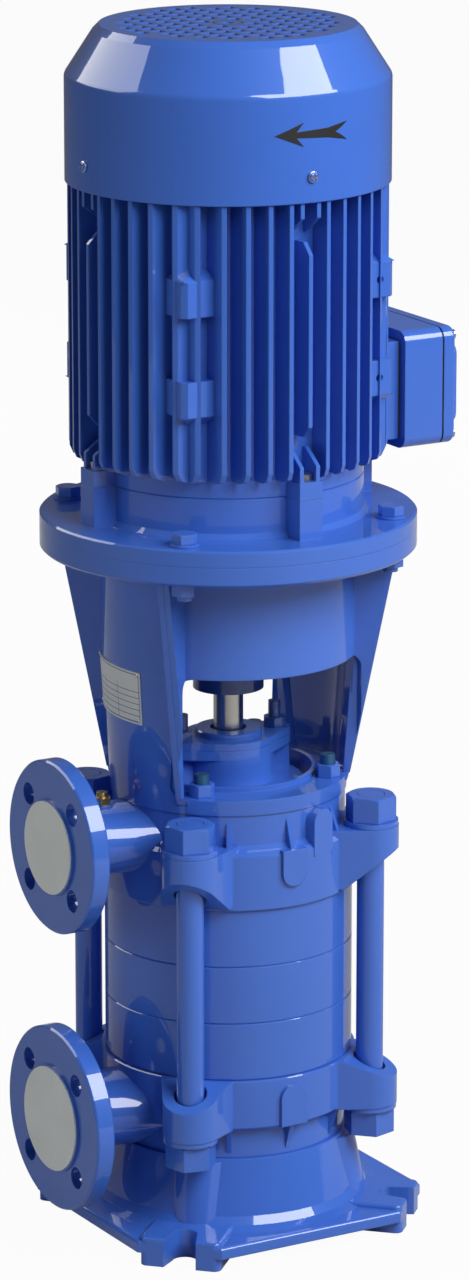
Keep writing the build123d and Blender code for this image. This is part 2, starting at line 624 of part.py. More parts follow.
def lantern():
    """Motor stool: foot ring, two windowed columns, barrel, four tapered ribs and top flange."""
    window_low = DISCHARGE_TOP + LANTERN_RING_THICKNESS
    window_top = DISCHARGE_TOP + WINDOW_TOP
    flange_low = LANTERN_TOP - LANTERN_FLANGE_THICKNESS
    body = turned((0, DISCHARGE_TOP), (LANTERN_RING_R, DISCHARGE_TOP), (BARREL_R, window_top),
                  (BARREL_R, flange_low - 5), (BARREL_R + 5, flange_low), (JOINT_FLANGE_R - 2, flange_low),
                  (JOINT_FLANGE_R, flange_low + 2), (JOINT_FLANGE_R, LANTERN_TOP), (0, LANTERN_TOP))
    rib = slab([(LANTERN_RING_R - 8, DISCHARGE_TOP + 4), (RIB_FOOT_REACH, DISCHARGE_TOP + 8),
                (RIB_TOP_REACH, flange_low), (BARREL_R - 6, flange_low)], RIB_THICKNESS)
    for side in (0, 180):
        for turn in (-RIB_TURN, RIB_TURN):
            body += Rot(0, 0, side + turn) * rib
    body -= turned((0, window_low + LIP_HEIGHT), (LANTERN_RING_R - BARREL_WALL, window_low + LIP_HEIGHT),
                   (BARREL_R - BARREL_WALL, window_top), (BARREL_R - BARREL_WALL, LANTERN_TOP + 1),
                   (0, LANTERN_TOP + 1))
    body -= tube(LANTERN_RING_R - BARREL_WALL, LANTERN_BORE_R + LIP_WALL, window_low, window_low + LIP_HEIGHT)
    body -= rod(LANTERN_BORE_R, DISCHARGE_TOP - 1, window_low + LIP_HEIGHT + 1)
    body -= rod(SPIGOT_R, LANTERN_TOP - SPIGOT_DEPTH, LANTERN_TOP + 1)
    window = Pos(0, 0, (window_low + window_top) / 2) * Rot(90, 0, 0) * extrude(
        RectangleRounded(2 * WINDOW_HALF, window_top - window_low, WINDOW_CORNER), JOINT_FLANGE_R, both=True)
    body -= window - rod(LANTERN_RING_R - BARREL_WALL - 1, window_low - 1, window_top + 1)
    body -= around(rod(BOLT_HOLE_R, flange_low - 1, LANTERN_TOP + 1, BOLT_PCD / 2), 4, 45)
    return body - around(rod(LANTERN_STUD_R + SEAT_GAP, DISCHARGE_TOP - 1, window_low + 1,
                             LANTERN_STUD_REACH), 4, 45)


def lantern_studs():
    """Four studs that hold the lantern on the discharge casing."""
    top = DISCHARGE_TOP + LANTERN_RING_THICKNESS + LANTERN_STUD_RISE
    return Compound(around(rod(LANTERN_STUD_R, DISCHARGE_TOP - CASING_WALL, top, LANTERN_STUD_REACH), 4, 45))


def lantern_nuts():
    """Nuts of the lantern studs."""
    low = DISCHARGE_TOP + LANTERN_RING_THICKNESS
    return Compound(around(ring_nut(LANTERN_NUT_FLATS, low, low + LANTERN_NUT_HEIGHT, LANTERN_STUD_R,
                                    LANTERN_STUD_REACH), 4, 45))


def nameplate():
    """Thin blank plate bent round the lantern column that faces the pipes."""
    high = NAMEPLATE_LOW + NAMEPLATE_HEIGHT
    low_r, high_r = column_radius(NAMEPLATE_LOW) + SEAT_GAP, column_radius(high) + SEAT_GAP
    profile = make_face(Polyline((low_r, 0, NAMEPLATE_LOW), (low_r + NAMEPLATE_THICKNESS, 0, NAMEPLATE_LOW),
                                 (high_r + NAMEPLATE_THICKNESS, 0, high), (high_r, 0, high), close=True))
    return Rot(0, 0, NAMEPLATE_FROM) * revolve(profile, Axis.Z, NAMEPLATE_TURN)


# ---- Tie rods ----
def rod_ends():
    """Heights of the lug faces that the tie-rod washers bear on."""
    return SUCTION_LUG_LOW, DISCHARGE_TOP - DISCHARGE_LUG_DEPTH


def tie_rods():
    """Four long rods that clamp the stages together."""
    low, high = rod_ends()
    stack = ROD_WASHER_THICKNESS + ROD_NUT_HEIGHT
    shank = turned((0, low - stack), (ROD_THREAD_R - 1.5, low - stack), (ROD_R, low - stack + 1.5),
                   (ROD_R, high + stack - 1.5), (ROD_THREAD_R - 1.5, high + stack), (0, high + stack))
    return Compound(around(Pos(ROD_REACH, 0, 0) * shank, 4, 45))


def tie_rod_washers():
    """Plain washers under all eight tie-rod nuts."""
    low, high = rod_ends()
    washers = []
    for face in (low - ROD_WASHER_THICKNESS, high):
        washer = tube(ROD_WASHER_R, ROD_R + SEAT_GAP, face, face + ROD_WASHER_THICKNESS)
        washers += around(Pos(ROD_REACH, 0, 0) * washer, 4, 45)
    return Compound(washers)


def tie_rod_nuts(upper):
    """Four heavy hexagon nuts on the upper or lower rod ends."""
    low, high = rod_ends()
    start = high + ROD_WASHER_THICKNESS if upper else low - ROD_WASHER_THICKNESS - ROD_NUT_HEIGHT
    nut = ring_nut(ROD_NUT_FLATS, start, start + ROD_NUT_HEIGHT, ROD_R, ROD_REACH)
    return Compound(around(nut, 4, 45))


# ---- Coupling ----
def coupling_hub(low, high, jaw_from, jaw_to, turn, bore):
    """One half of the jaw coupling."""
    body = tube(COUPLING_R, bore + SLIDE, low, high)
    jaw = sector(COUPLING_R - 0.5, JAW_INNER_R, jaw_from, jaw_to, JAW_ANGLE)
    return body + around(jaw, JAW_COUNT, turn)


def pump_hub():
    """Coupling half on the pump shaft."""
    top = COUPLING_LOW + COUPLING_HUB
    return coupling_hub(COUPLING_LOW, top, top - 1, top + COUPLING_JAW - RUN_GAP, 0, SHAFT_R)


def motor_hub():
    """Coupling half on the motor shaft."""
    low = COUPLING_LOW + COUPLING_HUB + COUPLING_JAW
    return coupling_hub(low, low + COUPLING_HUB, low - COUPLING_JAW + RUN_GAP, low + 1, 60, MOTOR_SHAFT_R)


def coupling_spider():
    """Elastic star between the coupling jaws."""
    low = COUPLING_LOW + COUPLING_HUB
    high = low + COUPLING_JAW - RUN_GAP
    core_r = JAW_INNER_R - 0.5
    arm = sector(COUPLING_R - 1, core_r - 4, low, high, SPIDER_ANGLE)
    return rod(core_r, low, high) + around(arm, 2 * JAW_COUNT, 30)


# ---- Motor ----
def drive_end_shield():
    """Motor end shield with the mounting flange, spigot, bearing seat and four bolt pads."""
    seat_low = FLANGE_TOP + 3
    body = turned((0, LANTERN_TOP - SPIGOT_DEPTH), (SPIGOT_R - SEAT_GAP, LANTERN_TOP - SPIGOT_DEPTH),
                  (SPIGOT_R - SEAT_GAP, LANTERN_TOP), (JOINT_FLANGE_R, LANTERN_TOP),
                  (JOINT_FLANGE_R, FLANGE_TOP - 1.5), (JOINT_FLANGE_R - 1.5, FLANGE_TOP),
                  (DRUM_R + 4, FLANGE_TOP), (DRUM_R, FLANGE_TOP + 4), (DRUM_R, FRAME_LOW - STAGE_CHAMFER),
                  (DRUM_R - STAGE_CHAMFER, FRAME_LOW), (0, FRAME_LOW))
    for turn in range(4):
        body += Rot(0, 0, 90 * turn) * block(DRUM_R - 8, SHIELD_PAD_REACH, -SHIELD_PAD_HALF, SHIELD_PAD_HALF,
                                             FLANGE_TOP - 1, FRAME_LOW)
    body -= tube(DRUM_R - DRUM_WALL, BEARING_R + 8, FLANGE_TOP, FRAME_LOW)
    body -= rod(BEARING_R + 9, seat_low + BEARING_WIDTH, FRAME_LOW + 1)
    body -= rod(BEARING_R, seat_low, FRAME_LOW)
    body -= rod(MOTOR_SHAFT_R + 3, LANTERN_TOP - SPIGOT_DEPTH - 1, seat_low + 1)
    return body - around(rod(BOLT_HOLE_R, LANTERN_TOP - 1, FLANGE_TOP + 1, BOLT_PCD / 2), 4, 45)


def fins():
    """Cooling fins: in each quarter they stand parallel, and their tips lie on one circle."""
    inner = FRAME_CORE_R * 0.55
    plan = Sketch()
    for turn in range(4):
        for pair in range(1, FIN_PAIRS + 1):
            for side in (-1, 1):
                plan += Rot(0, 0, 90 * turn) * Pos((inner + FIN_TIP_R) / 2, side * pair * FIN_PITCH) * Rectangle(
                    FIN_TIP_R - inner, FIN_THICKNESS)
    blank = turned((FRAME_BORE_R + 2, FIN_LOW), (FIN_TIP_R - FIN_CORNER, FIN_LOW),
                   (FIN_TIP_R - FIN_CORNER * 0.3, FIN_LOW + FIN_CORNER * 0.3), (FIN_TIP_R, FIN_LOW + FIN_CORNER),
                   (FIN_TIP_R, FRAME_TOP), (FRAME_BORE_R + 2, FRAME_TOP))
    return (Pos(0, 0, FIN_LOW) * extrude(plan, FRAME_TOP - FIN_LOW)) & blank


def foot_pad(low, up):
    """One square foot boss on the (+X, +Y) corner, peaked towards its free end."""
    middle = (FOOT_PAD_IN + FOOT_PAD_OUT) / 2
    size = FOOT_PAD_OUT - FOOT_PAD_IN
    body = block(FOOT_PAD_IN, FOOT_PAD_OUT, FOOT_PAD_IN, FOOT_PAD_OUT, low, low + FOOT_PAD_HEIGHT)
    outer = body.edges().filter_by(Axis.Z).sort_by(lambda edge: edge.center().X + edge.center().Y)[-1]
    body = chamfer(outer, FOOT_PAD_CHAMFER)
    seat = low + FOOT_PAD_HEIGHT if up else low
    tip = seat + (FOOT_PAD_PEAK if up else -FOOT_PAD_PEAK)
    wide = Pos(middle, middle, seat) * Rectangle(size, size)
    narrow = Pos(middle - 4, middle - 4, tip) * Rectangle(size * 0.25, size * 0.25)
    body += loft([wide, narrow])
    level = low + FOOT_PAD_HEIGHT / 2
    hole = Pos(FOOT_PAD_OUT, middle + 2, level) * Rot(0, 90, 0) * Cylinder(FOOT_PAD_HOLE_R, 24)
    return body - hole


def bolt_ear(low, height, flip):
    """Pair of ribs that flank a shield bolt on +X."""
    ribs = []
    for side in (-1, 1):
        near = side * (EAR_HALF - EAR_WALL)
        far = side * EAR_HALF
        if flip:
            points = [(FRAME_CORE_R - 4, low), (FRAME_CORE_R + 4, low), (SHIELD_PAD_REACH - 2, low + height * 0.5),
                      (SHIELD_PAD_REACH - 2, low + height), (FRAME_CORE_R - 4, low + height)]
        else:
            points = [(FRAME_CORE_R - 4, low), (SHIELD_PAD_REACH - 2, low), (SHIELD_PAD_REACH - 2, low + height * 0.5),
                      (FRAME_CORE_R + 4, low + height), (FRAME_CORE_R - 4, low + height)]
        ribs.append(Pos(0, (near + far) / 2, 0) * slab(points, EAR_WALL))
    return ribs


def motor_frame():
    """Finned motor housing with bolt bosses, foot bosses and the flat seat of the terminal box."""
    pad_top = FRAME_LOW + SHIELD_PAD_RISE
    body = turned((FRAME_BORE_R, FRAME_LOW), (DRUM_R - STAGE_CHAMFER, FRAME_LOW),
                  (DRUM_R, FRAME_LOW + STAGE_CHAMFER), (DRUM_R, pad_top), (FRAME_CORE_R, pad_top + 3),
                  (FRAME_CORE_R, FRAME_TOP), (FRAME_BORE_R, FRAME_TOP))
    body += fins()
    for turn in range(4):
        spin = Rot(0, 0, 90 * turn)
        body += spin * block(FRAME_CORE_R - 5, SHIELD_PAD_REACH, -SHIELD_PAD_HALF, SHIELD_PAD_HALF,
                             FRAME_LOW, pad_top)
        body += [spin * rib for rib in bolt_ear(pad_top, EAR_RISE, False)]
        body += [spin * rib for rib in bolt_ear(FRAME_TOP - EAR_RISE, EAR_RISE, True)]
        fin = slab([(FRAME_CORE_R - 4, CENTRE_FIN_LOW), (FIN_TIP_R - FIN_CORNER, CENTRE_FIN_LOW),
                    (FIN_TIP_R, CENTRE_FIN_LOW + FIN_CORNER), (FIN_TIP_R, CENTRE_FIN_TOP - FIN_CORNER),
                    (FIN_TIP_R - FIN_CORNER, CENTRE_FIN_TOP), (FRAME_CORE_R - 4, CENTRE_FIN_TOP)], FIN_THICKNESS)
        body += spin * fin
        for rise, up in zip(FOOT_PAD_RISES, (False, True)):
            body += spin * foot_pad(FRAME_LOW + rise, up)
    inset = BOX_NECK_INSET
    body += block(FRAME_CORE_R * 0.84, BOX_BACK, -BOX_HALF + inset, BOX_HALF - inset, BOX_LOW + inset,
                  BOX_LOW + BOX_HEIGHT - inset)
    body -= rod(FRAME_BORE_R, FRAME_LOW - 1, COWL_LOW)
    wire_way = Pos(FRAME_CORE_R, 0, BOX_LOW + BOX_HEIGHT / 2) * Rot(0, 90, 0) * Cylinder(16, 60)
    return body - wire_way


def rear_shield():
    """Fan-end shield with its bearing seat and four posts for the cowl screws."""
    seat_low = FRAME_TOP - 4
    high = FRAME_TOP + 18
    body = turned((0, FRAME_TOP - 4), (FRAME_BORE_R - SEAT_GAP, FRAME_TOP - 4),
                  (FRAME_BORE_R - SEAT_GAP, FRAME_TOP), (DRUM_R, FRAME_TOP), (DRUM_R, FRAME_TOP + 9),
                  (BEARING_R + 14, high), (0, high))
    for turn in range(4):
        post = block(DRUM_R - 12, COWL_R - COWL_WALL - SEAT_GAP, -7, 7, FRAME_TOP + 8, COWL_LOW + COWL_SCREW_RISE + 8)
        body += Rot(0, 0, 90 * turn) * (post & rod(COWL_R - COWL_WALL - SEAT_GAP, FRAME_TOP, COWL_TOP))
        body += Rot(0, 0, 90 * turn) * block(DRUM_R - 12, DRUM_R + 10, -7, 7, FRAME_TOP, FRAME_TOP + 9)
    body -= rod(BEARING_R, seat_low - 1, seat_low + BEARING_WIDTH)
    return body - rod(BEARING_BORE_R + 3, seat_low, high + 1)


def bearing_outer(low):
    """Outer ring and shields of a deep-groove ball bearing."""
    return turned((BEARING_OUTER_INNER_R, low), (BEARING_R - SEAT_GAP, low),
                  (BEARING_R - SEAT_GAP, low + BEARING_WIDTH), (BEARING_OUTER_INNER_R, low + BEARING_WIDTH),
                  (BEARING_INNER_R + RUN_GAP, low + BEARING_WIDTH - 1), (BEARING_INNER_R + RUN_GAP, low + 1))


def bearing_inner(low):
    """Inner ring of a deep-groove ball bearing."""
    return tube(BEARING_INNER_R, BEARING_BORE_R + SLIDE, low, low + BEARING_WIDTH)


def motor_shaft():
    """Motor shaft with its bearing seats and shoulders."""
    low = COUPLING_LOW + COUPLING_HUB + COUPLING_JAW + 1
    drive_seat = FLANGE_TOP + 3
    rear_seat = FRAME_TOP - 4
    top = FAN_LOW + FAN_HEIGHT - 4
    return turned((0, low), (MOTOR_SHAFT_R - 1, low), (MOTOR_SHAFT_R, low + 1), (MOTOR_SHAFT_R, drive_seat),
                  (BEARING_BORE_R, drive_seat), (BEARING_BORE_R, drive_seat + BEARING_WIDTH),
                  (BEARING_BORE_R + 3, drive_seat + BEARING_WIDTH), (BEARING_BORE_R + 3, rear_seat),
                  (BEARING_BORE_R, rear_seat), (BEARING_BORE_R, rear_seat + BEARING_WIDTH),
                  (MOTOR_SHAFT_R - 2, rear_seat + BEARING_WIDTH), (MOTOR_SHAFT_R - 2, top), (0, top))


def stator_core():
    """Laminated stator stack."""
    return tube(STATOR_R, STATOR_BORE_R, STATOR_LOW, STATOR_LOW + STATOR_LENGTH)


def stator_windings():
    """Both winding heads."""
    heads = []
    for face, way in ((STATOR_LOW, -1), (STATOR_LOW + STATOR_LENGTH, 1)):
        end = face + way * WINDING_OVERHANG
        shoulder = face + way * WINDING_OVERHANG * 0.6
        points = [(STATOR_BORE_R + 6, face), (STATOR_R - 8, face), (STATOR_R - 8, shoulder), (STATOR_R - 16, end),
                  (STATOR_BORE_R + 14, end), (STATOR_BORE_R + 6, shoulder)]
        heads.append(turned(*points))
    return Compound(heads)


def rotor_core():
    """Squirrel-cage rotor pressed on the shaft."""
    outer = STATOR_BORE_R - AIR_GAP
    body = tube(outer, BEARING_BORE_R + 3 + SLIDE, STATOR_LOW, STATOR_LOW + STATOR_LENGTH)
    body += tube(outer - 3, outer - 16, STATOR_LOW - 8, STATOR_LOW + STATOR_LENGTH + 8)
    return body


def cooling_fan():
    """Radial fan with straight blades on the rear shaft end."""
    bore = MOTOR_SHAFT_R - 2 + SLIDE
    hub = tube(FAN_HUB_R, bore, FAN_LOW, FAN_LOW + FAN_HEIGHT - 8)
    disc = tube(FAN_R - 12, bore, FAN_LOW, FAN_LOW + 4)
    blade = slab([(FAN_HUB_R - 4, FAN_LOW), (FAN_R, FAN_LOW), (FAN_R, FAN_LOW + FAN_HEIGHT - 10),
                  (FAN_R - 14, FAN_LOW + FAN_HEIGHT), (FAN_HUB_R - 4, FAN_LOW + FAN_HEIGHT - 12)],
                 FAN_BLADE_THICKNESS)
    return hub + disc + around(blade, FAN_BLADES)


def fan_cowl():
    """Sheet cowl with a conical crown and a grille of square holes."""
    shoulder = COWL_TOP - COWL_SHOULDER
    crown = COWL_TOP - COWL_CROWN_DROP
    outer = turned((0, COWL_LOW), (COWL_R, COWL_LOW), (COWL_R, shoulder), (COWL_CROWN_R, crown),
                   (COWL_CROWN_R - COWL_CROWN_DROP, COWL_TOP), (0, COWL_TOP))
    outer = fillet(outer.edges().filter_by(GeomType.CIRCLE).group_by(Axis.Z)[-3:-2][0], 8)
    inner = turned((0, COWL_LOW - 1), (COWL_R - COWL_WALL, COWL_LOW - 1), (COWL_R - COWL_WALL, shoulder - 1),
                   (COWL_CROWN_R - COWL_WALL, crown - 1), (COWL_CROWN_R - COWL_CROWN_DROP - 1, COWL_TOP - COWL_WALL),
                   (0, COWL_TOP - COWL_WALL))
    holes = Sketch() + Circle(GRILLE_EYE_R)
    steps = int(GRILLE_R / GRILLE_PITCH) + 1
    for column in range(-steps, steps + 1):
        for row in range(-steps, steps + 1):
            x, y = column * GRILLE_PITCH, row * GRILLE_PITCH
            reach = math.hypot(x, y)
            if GRILLE_EYE_R + GRILLE_HOLE * 0.75 < reach < GRILLE_R - GRILLE_HOLE * 0.5:
                holes += Pos(x, y) * Rectangle(GRILLE_HOLE, GRILLE_HOLE)
    tools = Pos(0, 0, COWL_TOP - COWL_WALL - 1) * extrude(holes, COWL_WALL + 2)
    screw = Pos(COWL_R, 0, COWL_LOW + COWL_SCREW_RISE) * Rot(0, 90, 0) * Cylinder(2.6, 20)
    return outer - inner - tools - around(screw, 4)


def cowl_screws():
    """Four pan-head screws in the side of the cowl."""
    level = COWL_LOW + COWL_SCREW_RISE
    head = turned((0, 0), (COWL_SCREW_R, 0), (COWL_SCREW_R, 1.6), (COWL_SCREW_R - 1.6, 2.8), (0, 2.8))
    screw = Pos(COWL_R, 0, level) * Rot(0, 90, 0) * (head + Pos(0, 0, -COWL_WALL / 2) * Cylinder(2.5, COWL_WALL))
    return Compound(around(screw, 4))


def shield_bolts():
    """Four bolts that hold the drive-end shield to the frame."""
    low = FRAME_LOW + SHIELD_PAD_RISE
    middle = SHIELD_PAD_REACH - SHIELD_BOLT_INSET
    return Compound(around(hexagon(SHIELD_BOLT_FLATS, low, low + SHIELD_BOLT_HEAD, middle), 4))


def flange_bolts():
    """Four bolts through the motor flange and the lantern flange."""
    top = FLANGE_TOP + BOLT_WASHER
    low = LANTERN_TOP - LANTERN_FLANGE_THICKNESS - BOLT_NUT - 4
    bolt = hexagon(BOLT_FLATS, top, top + BOLT_HEAD, BOLT_PCD / 2) + rod(BOLT_R, low, top + 1, BOLT_PCD / 2)
    return Compound(around(bolt, 4, 45))


def flange_washers():
    """Washers under the flange bolt heads."""
    washer = tube(BOLT_WASHER_R, BOLT_R + SEAT_GAP, FLANGE_TOP, FLANGE_TOP + BOLT_WASHER)
    return Compound(around(Pos(BOLT_PCD / 2, 0, 0) * washer, 4, 45))


def flange_nuts():
    """Nuts under the lantern flange."""
    high = LANTERN_TOP - LANTERN_FLANGE_THICKNESS
    return Compound(around(ring_nut(BOLT_FLATS, high - BOLT_NUT, high, BOLT_R, BOLT_PCD / 2), 4, 45))


# ---- Terminal box ----
def box_plate(x_low, x_high, inset, corner):
    """A rounded rectangular plate across X, smaller than the box by an inset all round."""
    plan = RectangleRounded(BOX_HEIGHT - 2 * inset, 2 * (BOX_HALF - inset), corner)
    return Pos(x_low, 0, BOX_LOW + BOX_HEIGHT / 2) * Rot(0, 90, 0) * extrude(plan, x_high - x_low)


def terminal_box():
    """Open box on the motor frame, with a rim for the lid gasket."""
    body = box_plate(BOX_BACK + GASKET, BOX_FRONT - GASKET, 0, BOX_CORNER)
    body -= box_plate(BOX_BACK + GASKET + BOX_WALL, BOX_FRONT, BOX_WALL, BOX_CORNER - BOX_WALL)
    level = BOX_LOW + BOX_HEIGHT / 2
    middle = (BOX_BACK + BOX_FRONT) / 2
    body -= Pos(BOX_BACK + 3, 0, level) * Rot(0, 90, 0) * Cylinder(16, 20)
    return body - Pos(middle, BOX_HALF, level) * Rot(90, 0, 0) * Cylinder(GLAND_R - 4, 20)


def terminal_box_gaskets():
    """Rubber gaskets behind the box and under its lid."""
    back = box_plate(BOX_BACK, BOX_BACK + GASKET, BOX_NECK_INSET, BOX_CORNER / 2)
    back -= Pos(BOX_BACK, 0, BOX_LOW + BOX_HEIGHT / 2) * Rot(0, 90, 0) * Cylinder(16, 20)
    front = box_plate(BOX_FRONT - GASKET, BOX_FRONT, 1, BOX_CORNER - 1)
    front -= box_plate(BOX_FRONT - GASKET - 1, BOX_FRONT + 1, BOX_WALL, BOX_CORNER - BOX_WALL)
    return Compound([back, front])


def terminal_box_lid():
    """Cover with a raised middle."""
    body = box_plate(BOX_FRONT, BOX_FRONT + LID_THICKNESS, 0, BOX_CORNER)
    body = fillet(body.edges().group_by(Axis.X)[-1], 2.5)
    plan = RectangleRounded(BOX_HEIGHT - 2 * LID_CROWN_END_INSET, 2 * (BOX_HALF - LID_CROWN_SIDE_INSET),
                            BOX_CORNER)
    crown = extrude(plan, LID_CROWN + 1)
    crown = fillet(crown.edges().group_by(Axis.Z)[-1], 3)
    return body + Pos(BOX_FRONT + LID_THICKNESS - 1, 0, BOX_LOW + BOX_HEIGHT / 2) * Rot(0, 90, 0) * crown


def lid_screws():
    """Screws in the four corners of the lid."""
    x = BOX_FRONT + LID_THICKNESS
    screws = []
    for side in (-1, 1):
        for end in (-1, 1):
            y = side * (BOX_HALF - LID_SCREW_INSET)
            z = BOX_LOW + BOX_HEIGHT / 2 + end * (BOX_HEIGHT / 2 - LID_SCREW_INSET)
            screws.append(Pos(x + 1.2, y, z) * Rot(0, 90, 0) * Cylinder(LID_SCREW_R, 2.4))
    return Compound(screws)


def terminal_block():
    """Six-stud terminal board on the floor of the box."""
    level = BOX_LOW + BOX_HEIGHT / 2
    floor = BOX_BACK + GASKET + BOX_WALL
    body = block(floor, floor + 8, -26, 26, level - 36, level - 18)
    for column in (-16, 0, 16):
        body += Pos(floor + 12, column, level - 27) * Rot(0, 90, 0) * Cylinder(2.5, 10)
    return body


def cable_gland():
    """Entry for the supply cable on the side of the box."""
    x = (BOX_BACK + BOX_FRONT) / 2
    level = BOX_LOW + BOX_HEIGHT / 2
    gland = turned((GLAND_R - 6, -8), (GLAND_R - 4 - SEAT_GAP, -8), (GLAND_R - 4 - SEAT_GAP, 0), (GLAND_R, 0),
                   (GLAND_R, 8), (GLAND_R - 1, 9), (GLAND_R - 1, 20), (GLAND_R - 5, 24), (GLAND_R - 6, 24))
    return Pos(x, BOX_HALF, level) * Rot(-90, 0, 0) * gland


def stage_level(stage):
    """Height of the bottom of one stage."""
    return STAGES_LOW + stage * STAGE_PITCH


nodes = {
    "base_foot": base_foot(),
    "suction_casing": suction_casing(),
    "discharge_casing": discharge_casing(),
    "suction_flange_cover": flange_cover(SUCTION_LEVEL, SUCTION_RAISED_R),
    "discharge_flange_cover": flange_cover(DISCHARGE_LEVEL, DISCHARGE_RAISED_R),
    "vent_plug": vent_plug(),
    "bottom_bush": bottom_bush(),
    "impeller_spacers": impeller_spacers(),
    "shaft_nut": shaft_nut(),
    "pump_shaft": pump_shaft(),
    "seal_housing": seal_housing(),
    "gland_plate": gland_plate(),
    "gland_studs": gland_studs(),
    "gland_nuts": gland_nuts(),
    "seal_seat": seal_seat(),
    "seal_head": seal_head(),
    "lantern": lantern(),
    "lantern_studs": lantern_studs(),
    "lantern_nuts": lantern_nuts(),
    "nameplate": nameplate(),
    "tie_rods": tie_rods(),
    "tie_rod_washers": tie_rod_washers(),
    "tie_rod_nuts_upper": tie_rod_nuts(True),
    "tie_rod_nuts_lower": tie_rod_nuts(False),
    "pump_coupling_hub": pump_hub(),
    "motor_coupling_hub": motor_hub(),
    "coupling_spider": coupling_spider(),
    "drive_end_shield": drive_end_shield(),
    "motor_frame": motor_frame(),
    "rear_shield": rear_shield(),
    "drive_end_bearing_outer": bearing_outer(FLANGE_TOP + 3),
    "drive_end_bearing_inner": bearing_inner(FLANGE_TOP + 3),
    "rear_bearing_outer": bearing_outer(FRAME_TOP - 4),
    "rear_bearing_inner": bearing_inner(FRAME_TOP - 4),
    "motor_shaft": motor_shaft(),
    "stator_core": stator_core(),
    "stator_windings": stator_windings(),
    "rotor_core": rotor_core(),
    "cooling_fan": cooling_fan(),
    "fan_cowl": fan_cowl(),
    "cowl_screws": cowl_screws(),
    "shield_bolts": shield_bolts(),
    "flange_bolts": flange_bolts(),
    "flange_washers": flange_washers(),
    "flange_nuts": flange_nuts(),
    "terminal_box": terminal_box(),
    "terminal_box_gaskets": terminal_box_gaskets(),
    "terminal_box_lid": terminal_box_lid(),
    "lid_screws": lid_screws(),
    "terminal_block": terminal_block(),
    "cable_gland": cable_gland(),
}
for stage in range(STAGE_COUNT):
    nodes[f"stage_casing_{stage + 1}"] = stage_casing(stage_level(stage))
    nodes[f"diffuser_{stage + 1}"] = diffuser(stage_level(stage))
    nodes[f"impeller_{stage + 1}"] = impeller(stage_level(stage))

os.makedirs("parts", exist_ok=True)
for name, shape in nodes.items():
    export_step(shape, f"parts/{name}.step")
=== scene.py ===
import json
import math

import bmesh
import bpy
import numpy as np
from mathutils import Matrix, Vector


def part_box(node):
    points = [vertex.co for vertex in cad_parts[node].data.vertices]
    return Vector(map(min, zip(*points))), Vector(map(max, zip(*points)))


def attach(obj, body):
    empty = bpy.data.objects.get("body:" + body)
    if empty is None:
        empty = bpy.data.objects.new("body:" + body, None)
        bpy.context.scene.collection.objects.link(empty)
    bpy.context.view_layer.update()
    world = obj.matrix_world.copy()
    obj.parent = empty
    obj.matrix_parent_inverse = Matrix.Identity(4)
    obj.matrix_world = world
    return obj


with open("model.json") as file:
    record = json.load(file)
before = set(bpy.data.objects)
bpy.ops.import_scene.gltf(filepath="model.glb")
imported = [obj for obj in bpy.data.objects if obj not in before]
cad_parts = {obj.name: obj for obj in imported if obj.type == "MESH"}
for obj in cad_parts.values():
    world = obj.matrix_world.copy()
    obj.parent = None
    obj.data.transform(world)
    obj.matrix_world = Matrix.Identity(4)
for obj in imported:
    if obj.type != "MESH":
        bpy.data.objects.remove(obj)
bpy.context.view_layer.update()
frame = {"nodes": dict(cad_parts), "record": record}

# Dressed model of a vertical multistage pump.  Metres.  The shaft is the Z axis, the floor is Z = 0,
# both pipe flanges face -X and the terminal box faces +X.  The CAD nodes are the body; this script
# gives them their finishes and adds the small pieces that sit on them.

STATIC = "pump_casing"
nodes = frame["nodes"]


def low_of(node):
    """Lowest corner of a CAD node."""
    return np.array(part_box(node)[0])


def high_of(node):
    """Highest corner of a CAD node."""
    return np.array(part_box(node)[1])


def middle_of(node):
    """Middle of the box round a CAD node."""
    return (low_of(node) + high_of(node)) / 2


# ---- Sizes taken from the frame ----
COWL_RADIUS = high_of("fan_cowl")[1]
COWL_LOW = low_of("fan_cowl")[2]
COWL_TOP = high_of("fan_cowl")[2]
CASING_TOP = low_of("seal_housing")[2]
LID_FACE = low_of("lid_screws")[0]
LANTERN_LOW = low_of("lantern")[2]
LANTERN_FLANGE = 0.016
RIB_TOP = high_of("lantern")[2] - LANTERN_FLANGE

# ---- Sizes of the added pieces ----
# A piece that covers a CAD surface stands proud of it by this much, so that the two don't flicker.
PROUD = 0.00015

ARROW_LENGTH = 0.065
ARROW_HEAD = 0.024
ARROW_NECK = 0.016
ARROW_NOTCH = 0.012
ARROW_NECK_BOW = 0.002
ARROW_HEAD_HALF = 0.0093
ARROW_SHAFT_HALF = (0.0022, 0.0037, 0.0072)
ARROW_FLARE_FROM = 0.7 * ARROW_LENGTH
ARROW_RISE = 0.053
ARROW_TURN = math.radians(-104.3)
ARROW_FILM = 0.0002

# Cross recess of a pan head, as shares of the head's radius and height.
CROSS_HALF = 0.11
CROSS_REACH = 0.55
CROSS_SLOPE = 0.1
CROSS_DEPTH = 0.55
PAN_CROWN = 0.75

THREAD_PITCH = 0.0016
THREAD_DEPTH = 0.0007
THREAD_ROWS = 8
LANTERN_STUD_R = 0.006
GLAND_STUD_R = 0.005

COWL_HEAD_FOOT = 0.0028
COWL_HEAD_HEIGHT = 0.0033
LID_HEAD_R = 0.004
LID_HEAD_RISE = 0.0003

SOCKET_HEAD_R = 0.005
SOCKET_HEAD_HEIGHT = 0.005
SOCKET_HEAD_EDGE = 0.0005
SOCKET_R = 0.0026
SOCKET_DEPTH = 0.003
HOUSING_SCREW_REACH = 0.0515
HOUSING_FOOT = 0.006

RIVET_R = 0.0013
RIVET_RISE = 0.6
RIVET_INSET = 0.0026
PLATE_END = 0.001

GRIP_RIDGES = 18
GRIP_RIDGE = 0.0014
GRIP_INSET = 0.0016
GRIP_FROM = 0.0095
GRIP_LENGTH = 0.0095
GRIP_EASE = 0.35

